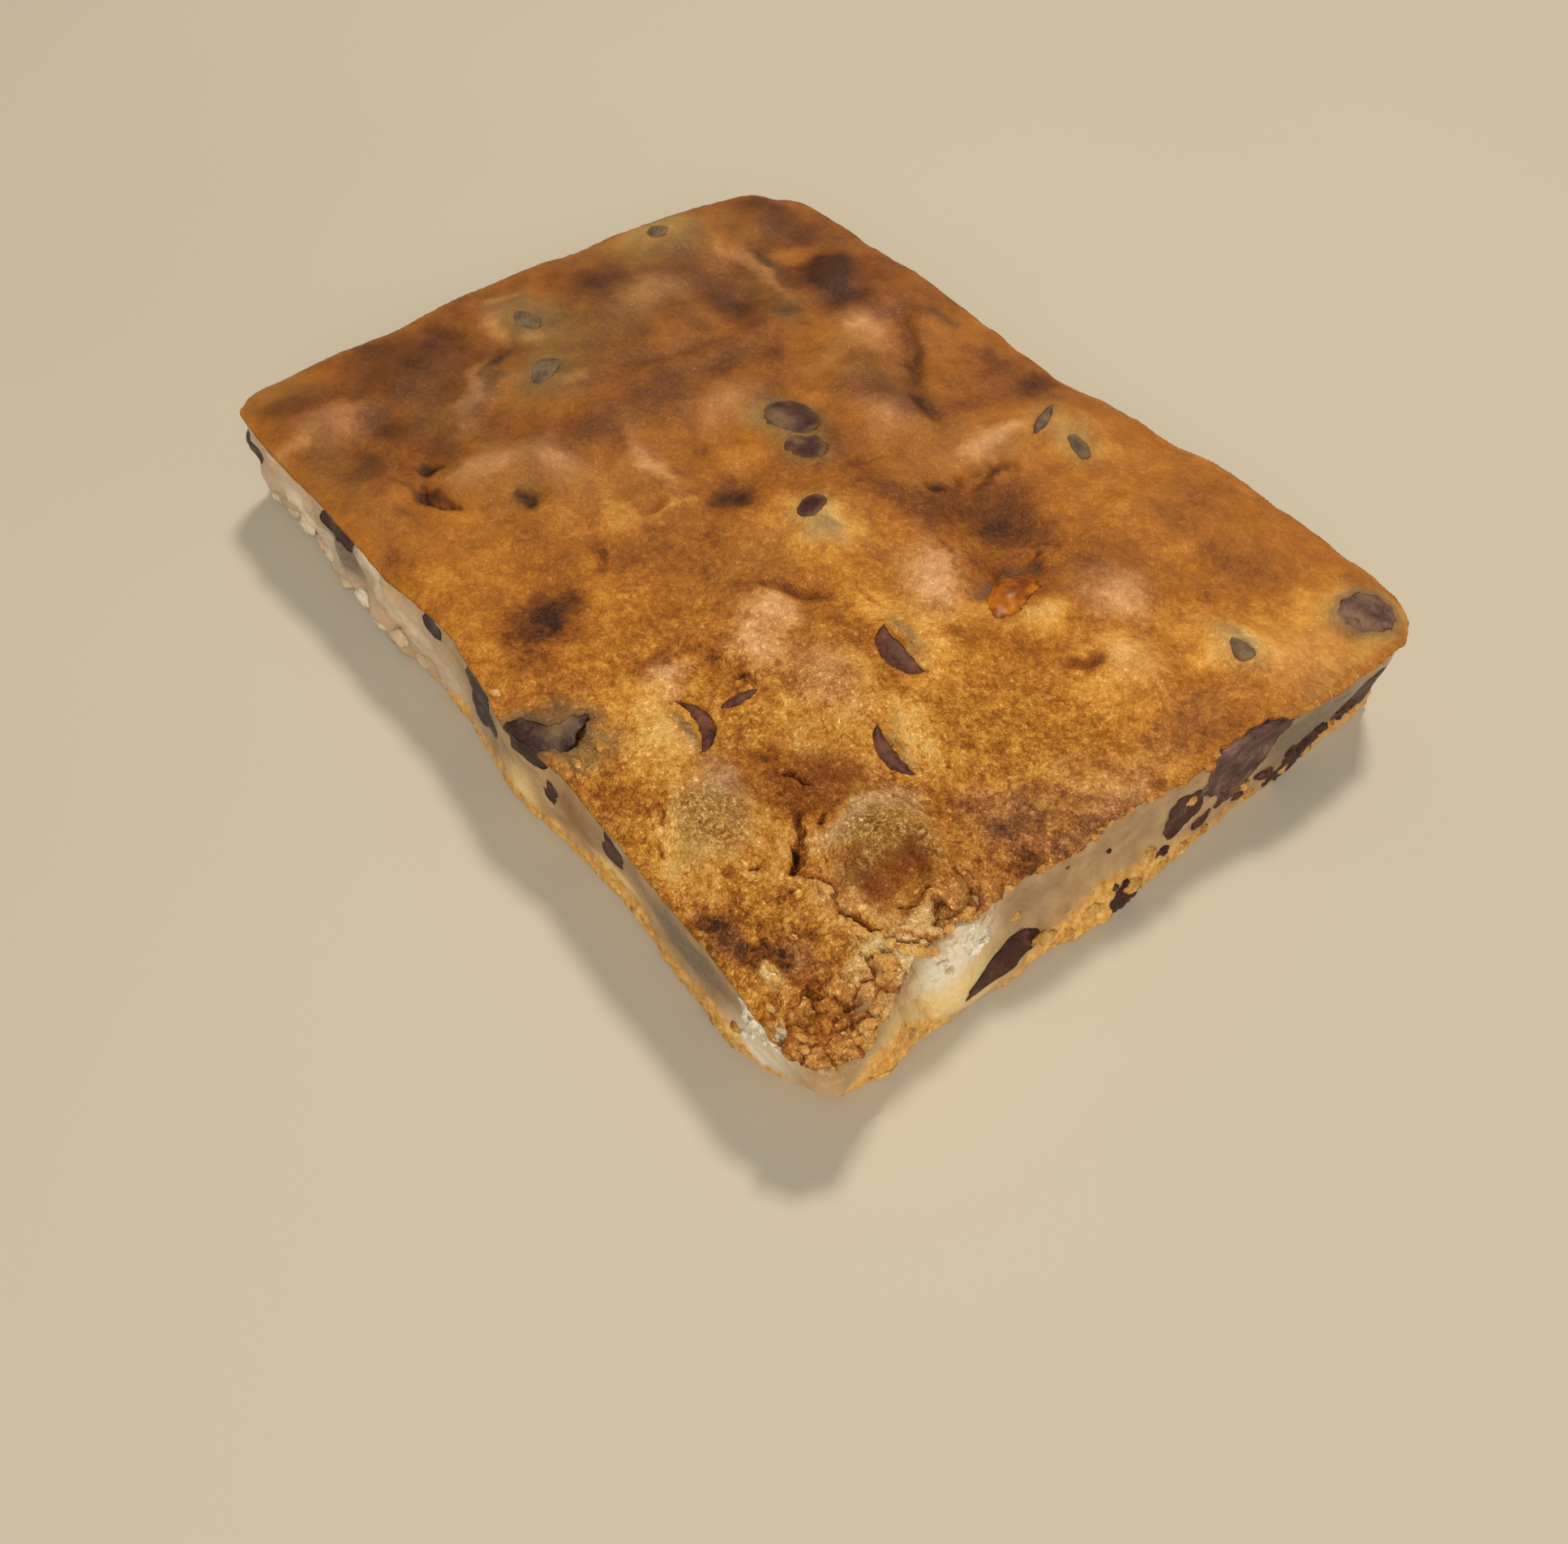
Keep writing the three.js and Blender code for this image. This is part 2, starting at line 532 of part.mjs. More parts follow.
// Chips and pieces that the knife cut through, flush with the faces
function addCutPiece(name, piece, material, seed) {
  addPiece(name, placedLump(piece, 0, seed).intersect(wholeSlab), material);
  slab = slab.subtract(placedLump(piece, chipGap, seed));
}
longFaceChips.forEach((chip, i) => addCutPiece(`chip_long_face_${i + 1}`, chip, chipMaterial, 101 + i));
shortFaceChips.forEach((chip, i) => addCutPiece(`chip_short_face_${i + 1}`, chip, chipMaterial, 131 + i));
addCutPiece('chip_corner', cornerChip, chipMaterial, 151);

// Pieces that stand a little proud of the surface
function addProudPiece(name, piece, material, seed) {
  addPiece(name, placedLump(piece, 0, seed), material);
  slab = slab.subtract(placedLump(piece, chipGap, seed));
}
addProudPiece('caramel_lump', caramelLump, caramelMaterial, 161);
addProudPiece('white_flake_long_face', longFaceFlake, flakeMaterial, 171);
addProudPiece('white_flake_short_face', shortFaceFlake, flakeMaterial, 181);

// Scraps and sealed pockets that the tearing leaves are dropped: the largest shell stays.
const shells = slab.decompose();
const largest = shells.reduce((best, shell) => (shell.volume() > best.volume() ? shell : best));
addPiece('blondie_slab', largest, crustMaterial);

export default blondie;
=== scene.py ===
import itertools
import math

import bmesh
import bpy
import numpy as np
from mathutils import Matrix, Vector


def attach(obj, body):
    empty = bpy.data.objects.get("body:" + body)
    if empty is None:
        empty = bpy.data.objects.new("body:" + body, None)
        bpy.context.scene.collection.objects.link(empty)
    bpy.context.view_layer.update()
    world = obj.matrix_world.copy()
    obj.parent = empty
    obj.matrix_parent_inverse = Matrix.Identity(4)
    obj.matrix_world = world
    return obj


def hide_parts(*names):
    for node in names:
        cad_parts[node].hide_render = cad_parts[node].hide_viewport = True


# Almond flour blondie: a browned crust over a dense cut crumb, with chocolate chips.
# Shapes are worked out in millimetres and become metres when a mesh is made.
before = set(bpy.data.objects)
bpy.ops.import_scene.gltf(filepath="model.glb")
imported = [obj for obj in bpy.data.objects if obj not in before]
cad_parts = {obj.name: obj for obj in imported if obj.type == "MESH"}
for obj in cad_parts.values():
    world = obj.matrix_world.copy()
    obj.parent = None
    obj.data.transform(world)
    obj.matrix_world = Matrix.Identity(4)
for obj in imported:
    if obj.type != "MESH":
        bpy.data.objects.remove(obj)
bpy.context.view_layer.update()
mm = 0.001
boxShift = np.array((1.47, -0.43, 0.0))  # the numbers below run from the middle of the slab's straight sides
print("frame loaded")


# Small helpers: noise, soft steps, meshes

def softStep(low, high, values):
    t = np.clip((values - low) / (high - low), 0, 1)
    return t * t * (3 - 2 * t)


def cellHash(cells, seed):
    primes = (73856093, 19349663, 83492791)
    mixed = np.full(len(cells), seed * 40503 + 977, dtype=np.int64)
    for axis in range(cells.shape[1]):
        mixed ^= cells[:, axis].astype(np.int64) * primes[axis]
    mixed &= 0xFFFFFFFF
    mixed = ((mixed ^ (mixed >> 13)) * 1274126177) & 0xFFFFFFFF
    mixed ^= mixed >> 16
    return mixed / 4294967296.0


def noise(points, cell, seed):  # smooth lattice noise, -1 to 1
    scaled = points / cell
    base = np.floor(scaled)
    t = scaled - base
    t = t * t * (3 - 2 * t)
    total = np.zeros(len(points))
    for corner in range(2 ** points.shape[1]):
        offset = np.array([(corner >> axis) & 1 for axis in range(points.shape[1])])
        weight = np.prod(np.where(offset == 1, t, 1 - t), axis=1)
        total += weight * cellHash(base + offset, seed)
    return 2 * total - 1


def layered(points, cell, seed, layers=3, gain=0.5):
    total = np.zeros(len(points))
    strength, reach = 1.0, 0.0
    for layer in range(layers):
        total += strength * noise(points, cell * 0.5 ** layer, seed + 31 * layer)
        reach += strength
        strength *= gain
    return total / reach


def stray(points, cell, seed, axes=2):  # a soft random shift for each point
    return np.stack([noise(points, cell, seed + axis) for axis in range(axes)], axis=1)


def cellular(points, cell, seed):  # distance to the nearest and second nearest grain centre, and the grain's draw
    scaled = points / cell
    base = np.floor(scaled)
    first = np.full(len(points), 9.0)
    second = np.full(len(points), 9.0)
    draw = np.zeros(len(points))
    for step in itertools.product((-1, 0, 1), repeat=points.shape[1]):
        cells = base + np.array(step)
        centre = cells + np.stack([cellHash(cells, seed + 3 * axis) for axis in range(points.shape[1])], axis=1)
        away = np.linalg.norm(scaled - centre, axis=1)
        closer = away < first
        second = np.where(closer, first, np.minimum(second, away))
        draw = np.where(closer, cellHash(cells, seed + 2), draw)
        first = np.where(closer, away, first)
    return first * cell, second * cell, draw


def spots(points, rows, power=1.3):  # sum of soft-edged ellipses: x, y, half sizes, turn if it has one, amount
    total = np.zeros(len(points))
    for x, y, halfX, halfY, *turn, amount in rows:
        angle = math.radians(sum(turn))
        dx, dy = points[:, 0] - x, points[:, 1] - y
        a = (dx * math.cos(angle) + dy * math.sin(angle)) / halfX
        b = (dy * math.cos(angle) - dx * math.sin(angle)) / halfY
        total += amount * np.exp(-((a * a + b * b) ** power))
    return total


def lineDistance(points, line):  # from plan points to a bent line
    line = np.array(line, float)
    best = np.full(len(points), 1e9)
    for start, end in zip(line[:-1], line[1:]):
        along = end - start
        t = np.clip(((points - start) @ along) / (along @ along), 0, 1)
        best = np.minimum(best, np.linalg.norm(points - start - t[:, None] * along, axis=1))
    return best


def turnedBy(degrees):  # points @ this turn about Z
    angle = math.radians(degrees)
    return np.array([[math.cos(angle), math.sin(angle), 0], [-math.sin(angle), math.cos(angle), 0], [0, 0, 1]])


def addObject(name, data):
    made = bpy.data.objects.new(name, data)
    bpy.context.scene.collection.objects.link(made)
    return made


def makeMesh(name, vertices, faces):
    mesh = bpy.data.meshes.new(name)
    mesh.from_pydata(((np.asarray(vertices) + boxShift) * mm).tolist(), [], [list(face) for face in faces])
    mesh.validate()
    mesh.polygons.foreach_set("use_smooth", [True] * len(mesh.polygons))
    return addObject(name, mesh)


def gridFaces(rows, cols):  # the squares of a grid, and the point numbers round its edge
    order = np.arange(rows * cols).reshape(rows, cols)
    quads = np.stack([order[:-1, :-1], order[1:, :-1], order[1:, 1:], order[:-1, 1:]], axis=-1).reshape(-1, 4)
    border = np.concatenate([order[:, 0], order[-1, 1:], order[-2::-1, -1], order[0, -2:0:-1]])
    return quads, border


def ringFaces(upper, lower):
    count = len(upper)
    return [(upper[i], lower[i], lower[(i + 1) % count], upper[(i + 1) % count]) for i in range(count)]


def addRing(rows, faces, ring, row, outward=True):  # one more ring of points, joined to the one before it
    start = sum(len(points) for points in rows)
    rows.append(row)
    following = list(range(start, start + len(row)))
    faces += ringFaces(ring, following) if outward else ringFaces(following, ring)
    return following


def pointsOf(piece):
    flat = np.zeros(3 * len(piece.data.vertices))
    piece.data.vertices.foreach_get("co", flat)
    return flat.reshape(-1, 3) / mm - boxShift


def setPoints(piece, points):
    piece.data.vertices.foreach_set("co", ((points + boxShift) * mm).ravel())
    piece.data.update()


def paint(piece, **values):  # one named float for each point, read by the material
    for name, column in values.items():
        layer = piece.data.attributes.new(name, "FLOAT", "POINT")
        layer.data.foreach_set("value", np.clip(column, 0, 1).astype(np.float32))


def plainMesh(piece):  # the mesh with its modifiers worked in
    made = bpy.data.meshes.new_from_object(piece.evaluated_get(bpy.context.evaluated_depsgraph_get()))
    piece.modifiers.clear()
    return made


def carve(piece, tools, how):  # cuts with each tool in turn, and keeps the piece's name
    for tool in tools:
        cut = piece.modifiers.new("cut", "BOOLEAN")
        cut.operation, cut.solver, cut.object = how, "MANIFOLD", tool
    piece.data = plainMesh(piece)
    piece.data.polygons.foreach_set("use_smooth", [True] * len(piece.data.polygons))
    return piece


def discard(pieces):
    for piece in pieces:
        bpy.data.objects.remove(piece)


# The slab's form

slab = {
    "height": 15.0,
    "frontCorner": (58, -44),  # the torn one
    "corners": (  # place, and how far the corner is rounded off
        ((-61.0, -43.9), 6.0), ((58.4, -44.0), 3.4), ((60.1, 44.6), 8.5), ((-57.8, 44.8), 10.0),
    ),
    "swells": (  # x, y, how far out, reach
        (-10, -44, -1.0, 9), (7, -44, 0.9, 4.5), (17, -44, -0.5, 4), (50, -44, 0.8, 5),
        (58.6, -31, -2.9, 6.5), (58.8, -18, -3.8, 9), (59.1, -2, -3.0, 9.5), (59.4, 14, -1.3, 8),
        (34, 45, 1.2, 13), (0, 45, -1.1, 11), (-59.5, 2, 3.6, 25), (-58, 36, -0.6, 6),
    ),
    "faceSwells": (  # x, y, z, how far out, reach along, reach up
        (44, -44, 3.2, 0.9, 4, 3.4), (27, -44, 4, -0.6, 7, 5), (7.7, -44, 4.5, 0.2, 4, 3), (-4, -44, 4, -0.3, 7, 6),
        (-16, -44, 4, -0.6, 7, 6), (-38, -44, 3, -0.4, 10, 5), (-50, -44, 1, -0.8, 7, 6), (-60, -44, 9, 0.6, 5, 4),
        (58, -34, 5, 0.9, 4, 4.5), (58, -25, 5.5, 1.5, 4.5, 5), (58, -19, 1, 1.1, 4.5, 4),
        (58.5, -4, 2.5, 2.5, 11, 3.6), (59, 17, 11, -0.5, 6, 3), (59.5, 21, 2, 0.4, 8, 3), (60, 33, 2, -0.5, 6, 6),
    ),
    "cornerTuck": ((58, -44), (-2.7, 2.8), 6.5, 6.5),  # the base below the crumbled corner stands in
    "lean": 0.6,  # of the walls towards the base, except at the long cut face
    "frontFlare": 0.8,
    "baseRound": 0.5,
    "waves": 6,
    "longestWave": 38.0,
    "waveShrink": 0.74,  # each wave to the one before it
    "waveRise": 0.0085,  # height of a wave, as a share of its length
    "edgeDrops": (0.35, 0.4, 0.9, 0.9),  # how far the top rounds off at its front, right, back and far edge
    "edgeReach": 1.6,
    "spanX": (-60.0, 58.4),  # between the rounded ends of the grid over the top
    "spanY": (-44.0, 44.0),
    "gradesX": (8, 22, 34, 40),  # where the grid's spacing changes
    "gradesY": (-22, -17, -6, 8),
    "spacings": (0.5, 0.3, 0.3, 0.205),  # finest at the torn front corner
}


def outlineLine():
    corners = [np.array(at) for at, radius in slab["corners"]]
    radii = [radius for at, radius in slab["corners"]]
    line, middles = [], []
    steps = np.linspace(0, 1, 41)[:, None]
    for i, here in enumerate(corners):
        before, after = corners[i - 1], corners[(i + 1) % 4]
        start = here + (before - here) / np.linalg.norm(before - here) * radii[i]
        end = here + (after - here) / np.linalg.norm(after - here) * radii[i]
        middles.append(len(line) + 20)
        line.extend((1 - steps) ** 2 * start + 2 * steps * (1 - steps) * here + steps ** 2 * end)
    line.append(line[0])
    line = np.array(line)
    travel = np.concatenate([[0], np.cumsum(np.linalg.norm(np.diff(line, axis=0), axis=1))])
    return line, travel / travel[-1], [travel[i] / travel[-1] for i in middles]


outline, outlineShares, cornerShares = outlineLine()
sideSpans = list(zip(cornerShares, cornerShares[1:] + [cornerShares[0] + 1]))


def outlineAt(shares):
    turned = shares % 1
    return np.stack([np.interp(turned, outlineShares, outline[:, axis]) for axis in (0, 1)], axis=1)


def outwardAt(shares, reach=0.0009):
    along = outlineAt(shares + reach) - outlineAt(shares - reach)
    along /= np.linalg.norm(along, axis=1)[:, None]
    return np.stack([along[:, 1], -along[:, 0]], axis=1)


def rimPoints(shares, level):  # plan points of the cut faces, level 1 at the crust and 0 at the underside
    level = np.broadcast_to(np.asarray(level, float), shares.shape)
    points, outward = outlineAt(shares), outwardAt(shares)
    swell = sum(out * np.exp(-((points[:, 0] - x) ** 2 + (points[:, 1] - y) ** 2) / reach ** 2)
                for x, y, out, reach in slab["swells"])
    z = level * slab["height"]
    bulge = sum(out * np.exp(-((points[:, 0] - x) ** 2 + (points[:, 1] - y) ** 2) / along ** 2
                             - ((z - zMiddle) / up) ** 2)
                for x, y, zMiddle, out, along, up in slab["faceSwells"])
    lean = slab["lean"] - slab["frontFlare"] * np.clip((-30 - points[:, 1]) / 10, 0, 1)
    lean = lean * (1 - level) ** 0.8 + slab["baseRound"] * np.exp(-level / 0.05)
    along = np.column_stack([points, level * 9])
    calm = 1 - 0.6 * softStep(30, 42, points[:, 1]) * (level > 0.9)
    waver = calm * (0.3 * noise(along, 9.0, 41) + 0.14 * noise(along, 3.2, 42))
    out = swell * (0.4 + 0.6 * level) - lean + waver + bulge
    (cornerX, cornerY), shift, reach, up = slab["cornerTuck"]
    away = ((points[:, 0] - cornerX) ** 2 + (points[:, 1] - cornerY) ** 2) / reach ** 2
    pull = np.exp(-away - (z / up) ** 2)
    return points + outward * out[:, None] + pull[:, None] * np.array(shift)


sideLines = [rimPoints(np.linspace(start, end, 220), 1.0) for start, end in sideSpans]


def sideDistances(points):  # to the front, right, back and far edges of the crust
    away = []
    for line in sideLines:
        best = np.full(len(points), 1e9)
        for start in range(0, len(points), 4000):
            block = points[start:start + 4000]
            gaps = block[:, None, :] - line[None, :, :]
            best[start:start + 4000] = np.sqrt((gaps ** 2).sum(axis=2).min(axis=1))
        away.append(best)
    return away


# The baked top

crust = {
    "bumps": (  # x, y, half sizes, turn if it has one, rise; chips and puffs under the crust, then hollows
        (27, -2.5, 5, 3.6, 1.1), (35.5, -11.4, 5, 3.4, -8, 1.0), (19.8, -33.2, 5.5, 4.2, 1.1),
        (5.6, 0.6, 6, 3.4, -20, 0.9), (44.5, -24.2, 6.4, 5.6, 1.5), (31, -35, 5.4, 5, 1.2), (42.5, 11, 5, 5, 0.9),
        (32.5, 10.5, 2.4, 3.6, 0.9), (-10, 9, 7.5, 4.5, 0.8), (-9.8, -13, 4, 5.4, 0.8),
        (-17.3, 23.6, 4.6, 4.6, 0.8), (-33.5, 34.5, 4.8, 4.8, 1.0), (12.2, 37, 5, 5, 0.9), (-52, -5, 5.5, 4.2, 0.9),
        (-40, -9, 5, 4, -40, 0.7), (-54.5, 22.5, 4, 5, 0.8), (54.6, 38, 4, 4.5, 0.9), (50, 23, 4, 3.4, 0.7),
        (-41.5, -18, 7, 2.4, -60, 0.8), (-27.5, -23, 3.6, 7, 0.8), (-47.5, -35, 4.2, 4.6, 0.8),
        (-4.5, 19.5, 6.5, 4.6, 0.8), (8, 29.5, 3, 5.5, 10, 0.7), (12, -12.5, 4.4, 3.6, 20, 0.9),
        (25, -15, 6, 4, 0.5), (19, 4.5, 5, 4.6, 0.7), (35.5, 19, 5, 4.6, 0.6), (-42, 30, 7.5, 3.2, -8, 0.7),
        (17, 18.5, 8.5, 6.5, -0.7), (-2.5, -33, 5, 6, -0.6), (-38, 20.5, 6.5, 5, -0.6), (-5.8, -4.5, 4, 5, -0.5),
        (0, -20, 11, 6, -0.6), (-24, 4, 10, 9, -0.6), (-10, -13.3, 1.5, 2, -1.1), (-17.3, 23.6, 1.6, 2.2, -1.0),
        (-20.3, -23.7, 1.7, 2.3, -1.2), (40, 8.5, 1.7, 2.2, -0.9), (-28, -32.5, 4.5, 1.8, 25, -0.9),
        (56, -42, 9, 8, -2.0),
    ),
    "puffs": (  # broad rises of the skin alone
        (-46.5, 12.5, 4.4, 5, 0.6), (-20.5, 6.5, 4.4, 5.4, 0.5), (-20, 29.5, 5, 4, -20, 0.6),
        (15, -17.5, 3.6, 3.2, 0.6), (12.8, -27.5, 2.3, 3.2, 0.5), (-18.5, -11.5, 5.6, 3.4, 0.6),
        (-11.5, -18, 4, 3.2, 0.4), (-41.5, 27, 9, 1.7, -4, 0.6), (49.5, 24.5, 5.2, 4.2, 20, 0.5),
        (22, 5, 7, 3.6, -42, 0.5), (35, 18.5, 4.6, 3.8, 0.5), (41, -12, 4, 3, 0.4), (-24, -18.5, 4.8, 2.6, 0.5),
        (-28, -26, 2.4, 5.6, 0.5), (-48, -35, 3.8, 4.6, 0.5), (-42, -19.2, 7, 2.1, -47, 0.7),
        (8, 26.5, 2.2, 5.6, 0.6), (-14, 34, 5, 4, 30, 0.4), (30, 33, 8, 6, 20, 0.4), (-33, -8, 4, 7, 0.4),
        (3, 8, 6, 4, 0.3), (28, -12.5, 6, 4, 0.35), (20, -40.5, 5, 2, 0.35), (44, -2, 7, 5, 0.35),
        (-53, 24, 4, 6, 0.4), (-8, -26, 5, 4, 0.3), (-34, 6, 6, 5, 0.35), (45, 38, 7, 4, 0.3), (50, 12, 3, 8, -0.4),
        (32, -23.5, 6, 3.4, -0.35), (5, -8, 5, 8, -0.4), (-36.5, 20.5, 5, 3.4, -0.5), (17, 18.5, 8, 6, -0.5),
        (-53, -22, 8, 9, -0.4), (-44, -31, 3, 3, -0.4), (2, 38, 3.4, 6, -0.5), (-26.5, 11, 2.4, 7, -0.35),
        (40, 31, 5, 2.4, 10, -0.4), (-5.8, -4.5, 3, 4, -0.3), (14, -22.3, 4, 1.6, 12, -0.5),
        (10.5, -9.5, 4, 1.2, 20, -0.4), (24, -41, 4, 2.6, -0.3), (43, -42, 4, 2, -0.3),
    ),
    "folds": (  # sunk lines of the skin: width, depth, then the line
        (1.1, 0.7, ((-17.5, 34.5), (-12, 31.5), (-8, 28), (-5, 25), (0, 24))),
        (0.9, 0.4, ((-47.5, -11.5), (-44, -13.5), (-42, -16), (-41, -19), (-39, -21))),
        (0.8, 0.8, ((12.0, 26.3), (10.4, 23.2), (9.9, 19.2))),
        (0.6, 0.45, ((0.9, 15.0), (0.4, 12.0), (-0.4, 9.6))),
        (0.8, 0.35, ((-32.2, -31.4), (-29.5, -33.5), (-26, -32.5), (-24.3, -30.8))),
        (0.7, 0.5, ((7.6, -11.2), (12, -9), (14.8, -6.4))),
        (0.7, 0.4, ((-9.4, -21.8), (-5.2, -24.2))),
        (0.8, 0.5, ((25.3, 13.6), (24.8, 10), (25.2, 6.2))),
        (0.8, 0.4, ((-23.5, 3), (-20.5, 0.5), (-15, -2))),
        (1.2, 0.5, ((-59, -16), (-54, -14), (-49, -15.5))),
        (1.0, 0.4, ((-35, 0), (-32, 6), (-32, 12))),
        (1.1, 0.4, ((30, 24), (36, 26.5), (42, 27))),
        (1.0, 0.4, ((22, -18), (26, -20), (31, -19.4))),
    ),
    "smallBumps": (  # too small for the plain solid
        (8.6, 15.9, 1.3, 0.9, -0.8), (-33.2, -30.6, 1.1, 1.1, -0.8), (53, 8.6, 1.0, 0.8, -0.7),
        (26, 15.6, 2.2, 0.8, -52, -0.8), (23.6, 10.4, 3.6, 1.0, 66, -0.6), (10.2, 23, 0.9, 3.6, 12, -0.7),
        (47.6, -22.8, 2.4, 2.0, 20, -0.25), (17.6, -38.5, 1.6, 1.3, 0.5), (13.8, -37.4, 1.3, 1.0, 0.4),
        (31.2, -31.0, 1.4, 0.9, -20, 0.4), (12, -8.3, 3.4, 0.9, -25, -0.35), (2.2, 19, 1.2, 5, 12, 0.4),
        (54.5, -36.9, 0.7, 1.7, -25, -1.5), (51.2, -39.5, 0.4, 0.9, -20, -1.2), (54.3, -39.1, 0.35, 0.7, -1.0),
        (52.2, -25.0, 0.7, 0.5, -40, -1.2), (53.2, -26.0, 0.8, 0.6, 30, -0.9), (51.6, -24.4, 0.5, 0.3, -0.9),
        (53.1, -20.9, 1.1, 0.8, -20, -1.1), (51.5, -39.2, 0.8, 0.4, 35, -1.0), (49.7, -42.8, 1.1, 0.6, -35, -1.1),
        (52.1, -44.0, 0.5, 0.9, -20, -1.4), (52.4, -32.5, 0.45, 0.7, -0.9), (50.4, -32.7, 0.5, 0.4, -0.7),
        (17.9, -38.4, 0.8, 0.5, -20, -0.7), (14.2, -35.6, 0.4, 0.5, -0.4), (49, 14.6, 0.7, 0.4, 20, -0.6),
        (53.7, 12, 0.5, 0.8, -0.6), (56.3, 26.8, 0.6, 1.0, -20, -0.6), (50.3, 21.8, 0.9, 0.6, -20, -0.4),
    ),
    "creases": (  # thin cracks: width, depth, then the line
        (0.26, 1.0, ((36.0, -28.4), (36.7, -29.2), (37.4, -29.6))),
        (0.3, 1.0, ((37.2, -29.4), (38.2, -30.2), (38.9, -31.1))),
        (0.32, 2.3, ((38.7, -31.0), (39.3, -31.6), (40.1, -32.1), (40.6, -32.8))),
        (0.34, 0.8, ((37.6, -29.2), (38.6, -29.8), (39.4, -30.8), (40.2, -31.6))),
        (0.18, 0.6, ((40.6, -32.6), (41.4, -32.2), (42.6, -31.5), (44.4, -31.3), (46.9, -32.3))),
        (0.26, 1.3, ((46.7, -32.2), (48.0, -31.7), (49.4, -31.3), (50.6, -31.0), (51.4, -30.8), (52.5, -30.0),
                     (53.7, -28.9))),
        (0.2, 1.2, ((31.0, -26.1), (31.5, -25.6), (32.3, -25.7), (32.9, -25.4), (33.8, -25.4))),
        (0.2, 0.9, ((37.3, -26.3), (37.5, -26.7), (37.9, -27.1))),
        (0.2, 0.9, ((37.9, -35.9), (38.0, -35.4))),
        (0.3, 0.9, ((36.7, -38.0), (36.9, -37.9))),
        (0.2, 0.8, ((37.1, -38.1), (37.5, -37.8))),
        (0.2, 0.8, ((41.4, -34.4), (42.0, -34.2))),
        (0.2, 0.8, ((29.6, -41.2), (30.8, -41.5))),
        (0.2, 0.8, ((27.3, -38.4), (27.6, -39.0), (28.1, -39.4))),
        (0.2, 0.7, ((54.0, -23.8), (53.2, -25.0), (52.0, -25.4))),
        (0.2, 0.5, ((16.0, 9.6), (18.4, 9.4), (20.2, 8.0), (21.4, 7.0))),
        (0.22, 0.3, ((11.6, 26.0), (9.9, 23.2), (9.5, 19.0))),
        (0.25, 0.7, ((24.3, 18.0), (25.0, 16.8), (26.0, 15.3))),
        (0.2, 0.45, ((39.9, -19.8), (41.0, -19.0), (43.1, -18.6))),
        (0.18, 0.4, ((26.4, -38.4), (27.4, -39.2))),
        (0.22, 0.7, ((50.2, -24.2), (50.6, -26.2), (49.8, -27.8))),
        (0.2, 0.5, ((50.2, -20.6), (51.6, -20.9), (53.4, -20.4))),
        (0.25, 0.5, ((-31.2, -32.6), (-29.4, -33.6), (-26.4, -32.6), (-24.8, -31.2))),
        (0.25, 0.3, ((14.9, -2.7), (17.4, -3.0), (20.4, -2.9))),
        (0.2, 0.3, ((38.0, -5.6), (38.4, -7.2))),
        (0.2, 0.35, ((40.2, 18.8), (41.8, 17.4))),
        (0.2, 0.4, ((17.4, -22.6), (18.2, -20.6), (19.6, -20.9))),
    ),
    "domes": ((44.9, -24.6, 5.5, 5.4, 1), (31.5, -35.6, 4.5, 3.7, 1)),  # chips that push the skin up
    "thickness": 0.75,  # of the browned skin where the knife cut through it
    "floor": 12.2,  # the piece's hidden flat bottom, inside the crumb
    "grain": 0.9,
    "edgeRings": ((0.08, 0.2), (0.1, 0.5), (-0.02, 0.85), (-0.45, 1.05), (-5.5, None)),  # out, share of the skin down
    "ragSpans": (118, 88),  # across the top along X and Y
    "ragReach": 0.9,  # how far in the torn edge pulls the skin with it
    "ragFine": (0.12, 0.42, 0.3),  # everywhere, more along the short side, and more again at the torn corner
    "ragBroad": (0.08, 0.3, 0.45),
    "scraped": (15.5, 5.5, 1.0),  # where the knife dragged skin off the short side: middle, half length, how far in
    "plates": (  # where the skin broke up: x, y, rise, slope along x and y, tone (0 pale crumb, 1 browned)
        (43.4, -32.8, 0.35, -0.04, 0.05, 0.6), (47.6, -30.2, 0.4, 0.0, -0.06, 0.5),
        (50.4, -28.4, 0.5, 0.05, -0.1, 0.4), (52.6, -27.4, 0.35, 0.1, 0.0, 0.35),
        (51.2, -31.9, -0.1, 0.05, 0.12, 0.0), (54.2, -29.7, -0.1, -0.1, 0.05, 0.0),
        (53.9, -32.9, 0.25, 0.1, 0.1, 0.35), (48.2, -33.8, 0.0, -0.05, 0.05, 0.75),
        (49.6, -36.3, 0.1, 0.05, 0.0, 0.9), (52.2, -35.2, -0.55, 0.0, 0.1, 0.3),
        (52.3, -37.2, 0.05, 0.12, -0.05, 0.8), (54.9, -36.2, -0.2, 0.2, 0.0, 0.5),
        (48.3, -38.4, 0.1, 0.0, 0.0, 1.0), (50.8, -38.2, 0.2, 0.1, -0.1, 1.0), (53.0, -39.2, -0.4, 0.0, 0.2, 0.9),
        (55.4, -38.0, 0.1, 0.15, 0.1, 0.8), (57.0, -37.9, -0.2, 0.3, 0.0, 0.5), (50.1, -41.2, 0.1, 0.1, 0.1, 0.95),
        (52.3, -41.6, 0.35, -0.1, 0.1, 0.9), (54.5, -41.0, 0.1, 0.1, -0.1, 1.0), (56.5, -40.4, 0.1, 0.2, 0.1, 0.8),
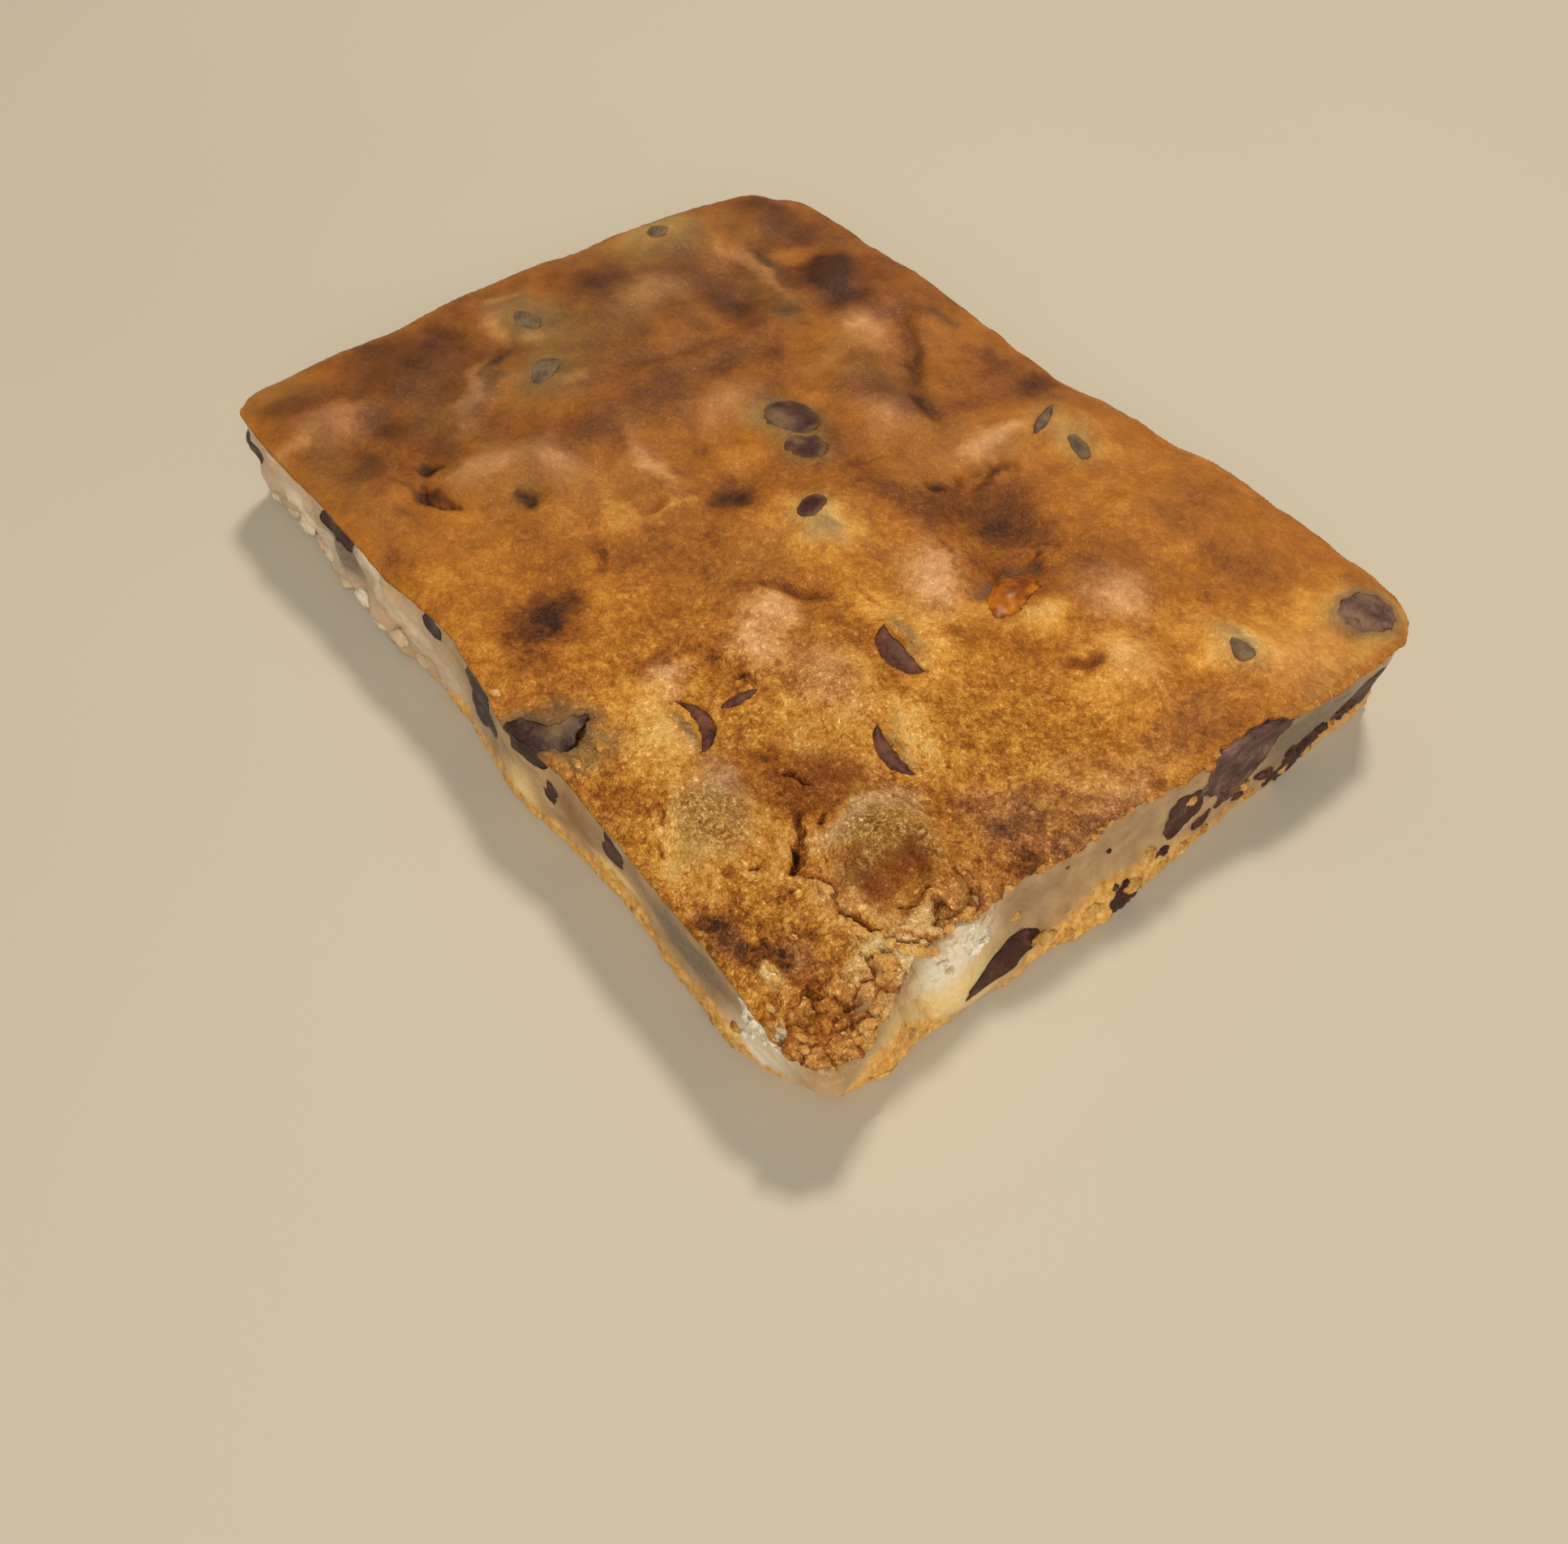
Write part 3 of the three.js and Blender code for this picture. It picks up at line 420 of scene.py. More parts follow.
        (51.0, -43.6, -0.4, 0.0, 0.2, 0.5), (53.6, -43.3, 0.15, 0.0, 0.15, 0.9), (56.0, -42.9, 0.0, 0.1, 0.1, 0.7),
        (47.9, -41.4, 0.35, 0.1, -0.1, 0.1), (45.6, -36.2, 0.0, 0.0, 0.0, 1.0), (52.0, -22.6, 0.1, 0.0, 0.05, 0.7),
        (54.1, -24.2, 0.0, 0.2, 0.0, 0.5), (54.0, -19.0, 0.1, 0.1, 0.0, 0.8), (56.2, -35.4, -0.3, 0.2, 0.0, 0.4),
    ),
    "tornSpots": (  # x, y, half sizes, sharpness, how torn
        (55.2, -39.4, 5.4, 6.0, 1.8, 1), (47.6, -41.4, 2.0, 1.2, 1.4, 0.8), (45.5, -31.8, 4.6, 1.8, 1.4, 0.6),
    ),
    "tornStrip": ((49.4, 52.8), (-16.0, -21)),  # along the short edge: where it sets in along X and along Y
    "coarseness": ((15, 40, 62, 85, 120), (1.5, 1.2, 0.65, 0.35, 0.25)),  # away from the front corner, how rough
    "puffiness": ((-45, 5), (0.5, 1)),
    "pores": {"apart": 1.5, "share": 0.12, "width": (0.12, 0.16), "depth": 0.4},
}


def tornness(points):  # 1 in the crumbled front corner, fading along the short edge
    startX, startY = crust["tornStrip"]
    strip = softStep(*startX, points[:, 0]) * softStep(*startY, points[:, 1])
    marks = [spots(points, ((x, y, halfX, halfY, share),), power)
             for x, y, halfX, halfY, power, share in crust["tornSpots"]]
    return np.clip(np.maximum.reduce([strip, *marks]), 0, 1)


def coarseness(points):  # the skin is roughest at the front corner and smoother towards the far one
    away = np.hypot(*(points - np.array(slab["frontCorner"])).T)
    return np.interp(away, *crust["coarseness"])


def puffiness(points):  # the rises and folds flatten out towards the far corner
    return np.interp(points[:, 0] - 0.3 * points[:, 1], *crust["puffiness"])


def brokenPlates(points):  # the plate under each point: its height, the gap beside it, and its tone
    warped = points + 0.5 * stray(points, 1.3, 25) + 0.22 * stray(points, 0.5, 27)
    first, second = np.full(len(points), 99.0), np.full(len(points), 99.0)
    height, tone = np.zeros(len(points)), np.zeros(len(points))
    for x, y, rise, slopeX, slopeY, shade in crust["plates"]:
        dx, dy = warped[:, 0] - x, warped[:, 1] - y
        away = np.hypot(dx, dy)
        closer = away < first
        second = np.where(closer, first, np.minimum(second, away))
        height = np.where(closer, rise + slopeX * dx + slopeY * dy, height)
        tone = np.where(closer, shade, tone)
        first = np.where(closer, away, first)
    gap = np.exp(-((second - first) / 0.24) ** 2)
    return height, gap, tone


def broadHeight(points):
    x, y = points[:, 0], points[:, 1]
    height = np.full(len(points), slab["height"])
    for i in range(slab["waves"]):
        length = slab["longestWave"] * slab["waveShrink"] ** i
        heading = 0.7 + 2.4 * i
        phase = (x * math.cos(heading) + y * math.sin(heading)) * 2 * math.pi / length
        height += slab["waveRise"] * length * np.sin(phase + 1.9 * i * i)
    height += spots(points, crust["bumps"])
    for away, drop in zip(sideDistances(points), slab["edgeDrops"]):
        height -= drop * np.exp(-away / slab["edgeReach"])
    return height


def creaseDepth(points):
    warped = points + (0.26 * stray(points, 0.8, 5) + 0.16 * stray(points, 0.4, 3))
    depth = np.zeros(len(points))
    for width, deep, line in crust["creases"]:
        depth = np.maximum(depth, deep * np.exp(-(lineDistance(warped, line) / width) ** 3))
    return depth


def domeMask(points):  # 1 on the grainy skin over the two big chips
    return spots(points + 0.7 * stray(points, 2.1, 17), crust["domes"], 4)


def patchiness(points):  # where the skin over the two big chips is grainy rather than smooth
    return softStep(-0.45, 0.25, layered(points, 1.3, 107, 2) + 0.04 * (46 - points[:, 0]))


def fineHeight(points):  # puffs, folds, grains, pores, cracks and crumbs
    torn, dome, rough = tornness(points), domeMask(points), coarseness(points)
    puffs = spots(points, crust["puffs"]) + 0.32 * layered(points, 7.5, 11, 2) + 0.15 * noise(points, 2.8, 12)
    bent = points + 0.7 * stray(points, 2.4, 7)
    for width, deep, line in crust["folds"]:
        puffs -= deep * np.exp(-(lineDistance(bent, line) / width) ** 2)
    height = spots(points, crust["smallBumps"]) + puffs * puffiness(points) + 0.45 * dome - 0.5 * dome * (1 - dome)
    height += rough * (0.08 * noise(points, crust["grain"], 13) + 0.07 * noise(points, 0.45, 14))
    pores = crust["pores"]
    nearest, _, draw = cellular(points, pores["apart"], 21)
    opened = (draw - 1 + pores["share"]) / pores["share"]
    pore = (opened > 0) * np.exp(-(nearest / (pores["width"][0] + pores["width"][1] * opened)) ** 2)
    height -= np.clip(rough - 0.3, 0, 1) * pores["depth"] * pore * (1 - torn)
    warped = points + 0.45 * stray(points, 1.1, 15)  # grains of the skin over the two big chips
    nearest, second, draw = cellular(warped, 0.66, 43)
    grainy = 0.34 * (draw - 0.5) - 0.18 * np.exp(-((second - nearest) / 0.12) ** 2)
    height += dome * patchiness(points) * grainy
    plateHeight, gap, tone = brokenPlates(points)  # broken skin at the front corner
    steps = softStep(-0.1, 0.1, layered(warped, 3.0, 41, 4, 0.6))
    steps += 0.2 * softStep(-0.1, 0.1, layered(warped, 1.5, 44, 3, 0.6))
    crumble = 0.4 * (steps - 0.6) + 0.06 * noise(points, 0.42, 45)
    broken = softStep(0.3, 0.75, torn)
    height += broken * (plateHeight - gap * np.clip(0.3 + noise(points, 2.5, 29), 0, 1))
    height += softStep(0.1, 0.6, torn) * crumble * np.clip(1.3 - 1.1 * tone, 0.25, 1.2)
    return height - creaseDepth(points)


def crustHeight(points):
    return broadHeight(points) + fineHeight(points)


def gradedSteps(low, high, places, spacings):  # shares of the span, closer together towards the front corner
    values = [low]
    while values[-1] < high:
        values.append(values[-1] + float(np.interp(values[-1], places, spacings)))
    values = np.array(values)
    return (values - low) / (values[-1] - low)


def ragAt(points):  # how far the torn edge of the crust stands out of the outline
    right = softStep(50, 54, points[:, 0]) * softStep(43, 38, points[:, 1])
    torn = right * softStep(-14, -20, points[:, 1])
    fine, broad = (everywhere + side * right + corner * torn
                   for everywhere, side, corner in (crust["ragFine"], crust["ragBroad"]))
    middle, half, depth = crust["scraped"]
    scraped = depth * right * np.exp(-((points[:, 1] - middle) / half) ** 4)
    return fine * layered(points, 1.2, 51, 3, 0.6) + broad * noise(points, 4.2, 52) - scraped


def topGrid():
    s = gradedSteps(*slab["spanX"], slab["gradesX"], slab["spacings"])
    t = gradedSteps(*slab["spanY"], slab["gradesY"], slab["spacings"][::-1])
    shares = [start + (end - start) * steps for (start, end), steps in zip(sideSpans, (s, t, 1 - s, 1 - t))]
    front, right, back, far = edges = [rimPoints(share, 1.0) for share in shares]
    u, v = s[:, None, None], t[None, :, None]
    plan = (1 - v) * front[:, None] + v * back[:, None] + (1 - u) * far[None] + u * right[None]
    plan = plan - (1 - u) * (1 - v) * front[0] - u * (1 - v) * front[-1] - u * v * back[-1] - (1 - u) * v * back[0]
    long, short = crust["ragSpans"]
    away = (v * short, (1 - u) * long, (1 - v) * short, u * long)
    for side, (share, edge) in enumerate(zip(shares, edges)):
        shift = outwardAt(share) * ragAt(edge)[:, None]
        plan = plan + (shift[None] if side % 2 else shift[:, None]) * np.exp(-away[side] / crust["ragReach"])
    return plan, np.concatenate([shares[0][:-1], shares[1][:-1], shares[2][:0:-1], shares[3][:0:-1]])


plan, rimShares = topGrid()
gridX, gridY = plan.shape[:2]
flatPlan = plan.reshape(-1, 2)
topPoints = np.column_stack([flatPlan, crustHeight(flatPlan)])
topFaces, rimIndex = gridFaces(gridX, gridY)
rimOut = outwardAt(rimShares)
print("top surface worked out:", gridX, "by", gridY)


def makeCrust():
    faces, rows, ring = topFaces.tolist(), [topPoints], rimIndex.tolist()
    edge = topPoints[rimIndex]
    thick = crust["thickness"] * (1 + 0.35 * noise(edge[:, :2], 2.2, 61) + 0.2 * noise(edge[:, :2], 0.8, 62))
    for out, down in crust["edgeRings"]:
        lower = edge.copy()
        lower[:, :2] += rimOut * out
        lower[:, 2] = crust["floor"] if down is None else edge[:, 2] - thick * down
        ring = addRing(rows, faces, ring, lower)
    faces.append(ring[::-1])
    return makeMesh("brownedCrust", np.concatenate(rows), faces)


# The dense crumb with its cut faces and golden base

crumb = {
    "rows": 34,
    "underCrust": 0.35,  # how far the crumb stops below the top surface at the edge
    "recess": 0.22,  # how far it lies behind the crust's edge
    "baseHeight": 3.0,  # of the golden layer that baked against the tin
    "baseRises": (  # x, y, half sizes, how much taller the layer is
        (58, -35.5, 5, 6, 6.0), (58, -24, 5, 6, -2.4), (58, -5, 9, 9, 3.8), (44, -44, 4.5, 5, 3.6),
        (26, -44, 7, 5, 2.0), (7.7, -44, 4, 5, 1.4), (59, 24, 9, 9, -1.5),
    ),
    "baseDip": 3.2,  # how far the layer thins out towards the far end of the long face
    "innerRings": ((1.2, 0.35), (3.0, 0.9), (6.5, None)),  # inward and down, under the crust
    "innerTop": 12.0,
    "split": (  # y, z of a crack in the short face
        (-32.3, 9.4), (-31.2, 8.3), (-30.1, 7.8), (-29.4, 6.2), (-28.6, 4.2),
    ),
}


def baseTop(points):  # height of the golden base layer along the faces
    high = crumb["baseHeight"] + 1.0 * noise(points, 7, 71) + 0.5 * noise(points, 2.2, 72)
    high -= crumb["baseDip"] * softStep(-8, -26, points[:, 0]) * softStep(-30, -38, points[:, 1])
    return high + spots(points, crumb["baseRises"])


def faceRelief(points, z):  # knife smears, dents, and the grainy base
    deep = np.column_stack([points, z])
    torn = tornness(points) * softStep(8, 13, z)
    streaked = deep * np.array([1 / 5, 1 / 5, 1])  # drawn out along the face
    smears = 0.1 * noise(streaked, 0.8, 81) + 0.07 * noise(streaked, 0.4, 82)
    ragged = softStep(-2, -16, points[:, 0]) * softStep(-30, -38, points[:, 1])
    dents = 0.2 * noise(deep, 4.5, 83) + 0.1 * noise(deep, 1.8, 84)
    dents += ragged * (0.8 * noise(deep, 3.4, 88) + 0.4 * noise(deep, 1.5, 89))
    split = lineDistance(np.column_stack([points[:, 1], z]), crumb["split"]) + 0.3 * noise(deep, 0.9, 87)
    dents -= 1.1 * (points[:, 0] > 50) * np.exp(-(split / 0.4) ** 2)
    base = 1 - softStep(-0.8, 0.6, z - baseTop(points))
    nearest, second, draw = cellular(deep, 1.3, 85)
    grains = 0.3 * (draw - 0.5) - 0.22 * np.exp(-((second - nearest) / 0.22) ** 2) + 0.12 * noise(deep, 0.55, 86)
    return (1 - base) * smears + dents + base * grains + 0.4 * base + torn * (1.2 * (draw - 0.6))


longFace, shortFace = 0, 1  # the sides towards -Y and +X


def wallAt(side, along, z):  # a point of a cut face, with the directions along it, out of it and up
    shares = np.linspace(*sideSpans[side], 900)
    wall = rimPoints(shares, z / slab["height"])
    nearest = np.abs(wall[:, side % 2] - along).argmin()
    outX, outY = outwardAt(shares[nearest:nearest + 1])[0]
    return np.array([*wall[nearest], z]), np.array([[outY, -outX, 0], [outX, outY, 0], [0, 0, 1]])


def makeCrumb():
    top = broadHeight(rimPoints(rimShares, 1.0)) - crumb["underCrust"]
    faces, rows, ring = [], [], []
    for level in 1 - np.linspace(0, 1, crumb["rows"]):
        z = top * level
        place = rimPoints(rimShares, level)
        out = faceRelief(place, z) * softStep(0, 0.05, level) - crumb["recess"] * softStep(0.72, 0.98, level)
        ring = addRing(rows, faces, ring, np.column_stack([place + rimOut * out[:, None], z]))
    faces.append(ring[::-1])
    ring = list(range(len(top)))
    for inward, drop in crumb["innerRings"]:
        row = rows[0].copy()
        row[:, :2] -= rimOut * inward
        row[:, 2] = crumb["innerTop"] if drop is None else row[:, 2] - drop
        ring = addRing(rows, faces, ring, row, outward=False)
    faces.append(ring)
    return makeMesh("denseCrumb", np.concatenate(rows), faces)


brownedCrust = makeCrust()
denseCrumb = makeCrumb()
print("crust and crumb:", len(brownedCrust.data.polygons), len(denseCrumb.data.polygons))


# Chips: crescents and ovals under a gap in the crust, and lumps that the knife cut through

chips = {
    "crescents": {  # node: x, y, length, bow of each rim, turn
        "chip_crust_1": (26.4, -5.4, 8.1, -3.2, -0.3, -7),
        "chip_crust_2": (35.9, -15.2, 7.2, -2.2, -0.2, -8),
        "chip_crust_3": (19.7, -30.3, 8.8, 3.1, 1.2, -16),
        "chip_crust_4": (20.2, -23.6, 4.6, 0.9, -0.7, 82),
        "chip_crust_12": (8.7, 34.3, 6.6, 0.9, -0.7, -66),
    },
    "ovals": {  # node: x, y, half sizes, turn
        "chip_crust_5": (2.8, 1.2, 1.5, 2.2, 20),
        "chip_crust_6": (-11.9, 10.2, 3.9, 3.0, 14),
        "chip_crust_7": (-6.1, 7.6, 2.8, 1.9, 20),
        "chip_crust_8": (-50.3, -4.9, 2.0, 1.5, 20),
        "chip_crust_9": (-39.4, -9.2, 1.6, 2.8, 35),
        "chip_crust_10": (-55.6, 20.8, 1.6, 1.4, 0),
        "chip_crust_11": (49.9, 22.3, 1.7, 1.0, -15),
        "chip_crust_13": (15, 34.5, 2.0, 0.9, -8),
    },
    "lumps": {  # node: x, y, z, half sizes, turn
        "chip_long_face_1": (-58.6, -41.4, 10.4, 4.4, 3.8, 4.4, 30),
        "chip_long_face_2": (-33.0, -42.6, 11.8, 3.7, 2.6, 3.2, 0),
        "chip_long_face_3": (-11.8, -42, 12.6, 1.9, 2.2, 1.9, 0),
        "chip_long_face_4": (-1, -42.9, 9.6, 3.4, 2.8, 4.8, 0),
        "chip_long_face_5": (9.6, -41.2, 12.8, 3.4, 5.0, 3.7, -14),
        "chip_long_face_6": (13.4, -42.8, 8.6, 1.5, 2.1, 2.2, 0),
        "chip_long_face_7": (24.8, -42.6, 10.7, 1.9, 2.3, 2.6, 0),
        "chip_short_face_1": (57.6, -19.6, 4.4, 2.6, 5.6, 1.6, 4),
        "chip_short_face_2": (59.2, -2.4, 2.7, 1.9, 2.4, 2.0, 0),
        "chip_short_face_3": (57.6, 6.6, 8.2, 2.4, 3.3, 3.2, 0),
        "chip_short_face_4": (57.6, 16.0, 10.2, 3.0, 5.8, 5.4, 0),
        "chip_short_face_5": (59.2, 25.8, 3.6, 2.4, 4.3, 2.9, 0),
        "chip_short_face_6": (59.2, 36.6, 5.8, 2.6, 4.6, 3.6, 0),
        "chip_corner": (55.1, 38.3, 13.8, 3.9, 4.5, 2.7, 0),
    },
    "tapers": {"chip_short_face_1": 0.45},  # how much taller a chip is towards +Y
    "bloomed": ("chip_long_face_1", "chip_long_face_3", "chip_long_face_4"),
    "melted": ("chip_long_face_5", "chip_long_face_2"),  # darkest, smeared at the edge
    "scraped": ("chip_short_face_4", "chip_corner"),  # mauve where the knife or the tin dragged them
    "bakedOver": [f"chip_crust_{number}" for number in range(8, 14)],  # under a film of batter
    "edgeOpening": (  # outline of the gap in the crust over the big chip at the long edge
        (11.2, -36.9), (12.4, -36.5), (12.3, -37.9), (13.3, -38.7), (14.0, -39.3), (14.4, -40.3), (13.9, -41.5),
        (13.0, -42.4), (12.5, -43.6), (12.4, -46.5), (7.6, -46.5), (6.9, -44.4), (7.4, -42.9), (8.8, -42.2),
        (10.1, -41.4), (10.6, -40.0), (10.3, -38.6)),
    "cornerOpening": (
        (52.0, 37.6), (52.5, 40.0), (54.0, 41.7), (56.0, 41.8), (57.6, 40.4), (58.2, 38.4), (57.8, 36.9),
        (56.4, 35.3), (54.4, 34.9), (52.8, 35.8)),
    "lumpUneven": 0.34,
    "sink": 0.32,  # how far a chip lies below the crust round it
    "shallowSink": 0.05,  # where batter fills the gap round it
    "films": (  # batter smeared over a chip
        (-12.8, 8.8, 2.2, 1.3, 10, 1.0), (-7.8, 7.4, 1.3, 0.6, 10, 0.8), (10.6, -40.2, 1.3, 2.2, 30, 1.0),
        (13.0, -38.6, 1.0, 0.7, 0.6), (55.4, 36.6, 2.6, 1.2, 20, 0.8), (53.6, 39.6, 1.0, 1.4, 0.8),
        (25.6, -4.6, 2.2, 0.4, -8, 0.5),
    ),
    "rimFilm": {"ovals": 0.5, "crescents": 0.4},  # how thickly batter covers the rim of a chip
    "skinSize": {"ovals": 1.03, "crescents": 0.97},  # of a chip's skin, as a share of its opening
    "gap": 0.12,  # round a chip that the knife cut through
    "pocket": 1.9,  # how deep an opening goes below the crust
    "cutHeight": 6.0,  # of the tool that cuts it
    "steps": 36,  # points along a rim
    "skinRows": 13,
    "crustDrop": 0.25,  # laps the crust into the crumb where both trim the cut chips
}


def openingRims(node):  # the two rims of an opening, from tip to tip
    u = np.linspace(0, 1, chips["steps"] + 1)
    if node in chips["crescents"]:
        x, y, length, bowA, bowB, turn = chips["crescents"][node]
        across = (u - 0.5) * length
        rims = [np.stack([across, bow * (4 * u * (1 - u)) ** fullness], axis=1)
                for bow, fullness in ((bowA, 0.62), (bowB, 0.9))]
        rims.sort(key=lambda rimLine: rimLine[:, 1].mean())
    else:
        x, y, halfX, halfY, turn = chips["ovals"][node]
        angle = math.pi * u
        rims = [np.stack([-halfX * np.cos(angle), sign * halfY * np.sin(angle) ** 0.8], axis=1) for sign in (-1, 1)]
        bend = np.sin(angle)[:, None] * (0.12 + 0.13 * min(halfX, halfY))
        rims = [rimLine + bend * stray(rimLine + x, 1.5, 96) for rimLine in rims]
    rims = [rimLine @ turnedBy(turn)[:2, :2] + np.array([x, y]) for rimLine in rims]
    fade = np.minimum(1, np.minimum(u, 1 - u) * 6)[:, None]
    return [rimLine + fade * 0.16 * stray(rimLine, 0.7, 91) for rimLine in rims]


def rimLoop(node):
    lower, upper = openingRims(node)
    return np.concatenate([lower, upper[::-1]])


def raggedLoop(corners):  # a closed outline with a crumbly edge
    line = np.array([*corners, corners[0]], float)
    turning = (line[:-1, 0] * line[1:, 1] - line[1:, 0] * line[:-1, 1]).sum()
    line = line if turning > 0 else line[::-1]
    travel = np.concatenate([[0], np.cumsum(np.linalg.norm(np.diff(line, axis=0), axis=1))])
    steps = np.linspace(0, travel[-1], int(travel[-1] / 0.22) + 1)[:-1]
    loop = np.stack([np.interp(steps, travel, line[:, axis]) for axis in (0, 1)], axis=1)
    crumbly = [layered(loop, 0.9, seed, 2) for seed in (94, 95)]
    return loop + 0.28 * np.stack(crumbly, axis=1)


def openingTool(loop):  # a prism that cuts the opening into the crust
    middle = loop.mean(axis=0)
    bottom = broadHeight(middle[None])[0] - chips["pocket"]
    count = len(loop)
    heights = (bottom, bottom + chips["cutHeight"])
    vertices = np.concatenate([np.column_stack([loop, np.full(count, z)]) for z in heights])
    faces = [(i, (i + 1) % count, count + (i + 1) % count, count + i) for i in range(count)]
    faces += [tuple(range(count - 1, -1, -1)), tuple(range(count, 2 * count))]
    return makeMesh("openingTool", vertices, faces)


def chipOpening(node):
    lower, upper = openingRims(node)
    return openingTool(np.concatenate([lower, upper[-2:0:-1]]))


def makeOpenChip(node):  # the chip's skin in the opening, a shallow pillow
    lower, upper = openingRims(node)
    kind = "ovals" if node in chips["ovals"] else "crescents"
    middle = (lower + upper) / 2
    v = np.linspace(0, 1, chips["skinRows"])
    across = lower[:, None] * (1 - v)[None, :, None] + upper[:, None] * v[None, :, None]
    across = middle[:, None] + (across - middle[:, None]) * chips["skinSize"][kind]
    flat = across.reshape(-1, 2)
    crown = np.tile(4 * v * (1 - v), len(lower))
    height = broadHeight(flat) - chips["sink"] + 0.28 * crown + 0.06 * layered(flat, 0.9, 93)
    if kind == "ovals":
        skin = (crustHeight(lower) + crustHeight(upper) - broadHeight(lower) - broadHeight(upper)).mean() / 2
        height += chips["sink"] - chips["shallowSink"] + min(skin, 0.3)
    points = np.concatenate([np.column_stack([flat, z]) for z in (height, height - 0.9 - 0.5 * crown)])
    squares, border = gridFaces(len(lower), len(v))
    faces = squares.tolist() + (squares[:, ::-1] + len(flat)).tolist()
    faces += ringFaces(border.tolist(), (border + len(flat)).tolist())
    piece = makeMesh(node + "_piece", points, faces)
    joined = bmesh.new()
    joined.from_mesh(piece.data)
    bmesh.ops.remove_doubles(joined, verts=joined.verts, dist=0.02 * mm)
    bmesh.ops.recalc_face_normals(joined, faces=joined.faces)
    joined.to_mesh(piece.data)
    joined.free()
    return piece


def unitBall(detail):
    ball = bmesh.new()
    bmesh.ops.create_icosphere(ball, subdivisions=detail, radius=1)
    sphere = np.array([vertex.co[:] for vertex in ball.verts])
    triangles = np.array([[vertex.index for vertex in face.verts] for face in ball.faces])
    ball.free()
    return sphere, triangles


crumbBall, lumpBall = unitBall(4), unitBall(5)


def lumpPiece(name, place, sizes, turn, seed, uneven, grow=0.0, taper=0.0):
    direction, triangles = lumpBall
    push = 1 + uneven * noise(direction + seed, 0.75, seed) + 0.3 * uneven * noise(direction + seed, 0.26, seed + 1)
    local = direction * push[:, None] * (np.array(sizes) + grow)
    local[:, 2] *= 1 + taper * direction[:, 1]
    return makeMesh(name, local @ turnedBy(turn) + np.array(place), triangles.tolist())


def makeChips():
    opened = (*chips["crescents"], *chips["ovals"])
    openings = [chipOpening(node) for node in opened]
    openings += [openingTool(raggedLoop(chips[name])) for name in ("edgeOpening", "cornerOpening")]
    made = {node: makeOpenChip(node) for node in opened}
    whole, lowered = addObject("whole", denseCrumb.data.copy()), addObject("lowered", brownedCrust.data.copy())
    setPoints(lowered, pointsOf(lowered) - np.array([0, 0, chips["crustDrop"]]))
    carve(whole, [lowered], "UNION")
    pockets = []
    for number, (node, (x, y, z, sizeX, sizeY, sizeZ, turn)) in enumerate(chips["lumps"].items()):
        shape = {"place": (x, y, z), "sizes": (sizeX, sizeY, sizeZ), "turn": turn, "seed": 200 + 7 * number,
                 "uneven": chips["lumpUneven"], "taper": chips["tapers"].get(node, 0.0)}
        made[node] = carve(lumpPiece(node + "_piece", **shape), [whole], "INTERSECT")
        pockets.append(lumpPiece("pocketTool", grow=chips["gap"], **shape))
    carve(denseCrumb, pockets, "DIFFERENCE")
    carve(brownedCrust, openings, "DIFFERENCE")
    discard(pockets + openings + [whole, lowered])
    for node, piece in made.items():
        flat = pointsOf(piece)[:, :2]
        film = spots(flat, chips["films"])
        for kind, strength in chips["rimFilm"].items():
            if node in chips[kind]:
                film += strength * np.exp(-(lineDistance(flat, rimLoop(node)) / 0.5) ** 2)
        paint(piece, film=film)
    return made


chipPieces = makeChips()
print("chips set in:", len(chipPieces), "crust now", len(brownedCrust.data.polygons))


# Caramel, white chocolate flakes and crumbs

extras = {
    "caramel": {"place": (28.4, 10.0, 14.0), "sizes": (3.4, 4.4, 1.6), "turn": 14, "seed": 331, "uneven": 0.28},
    "pocketGap": 0.03,
    "flakes": {"white_flake_long_face": "whiteLong", "white_flake_short_face": "whiteShort"},
}


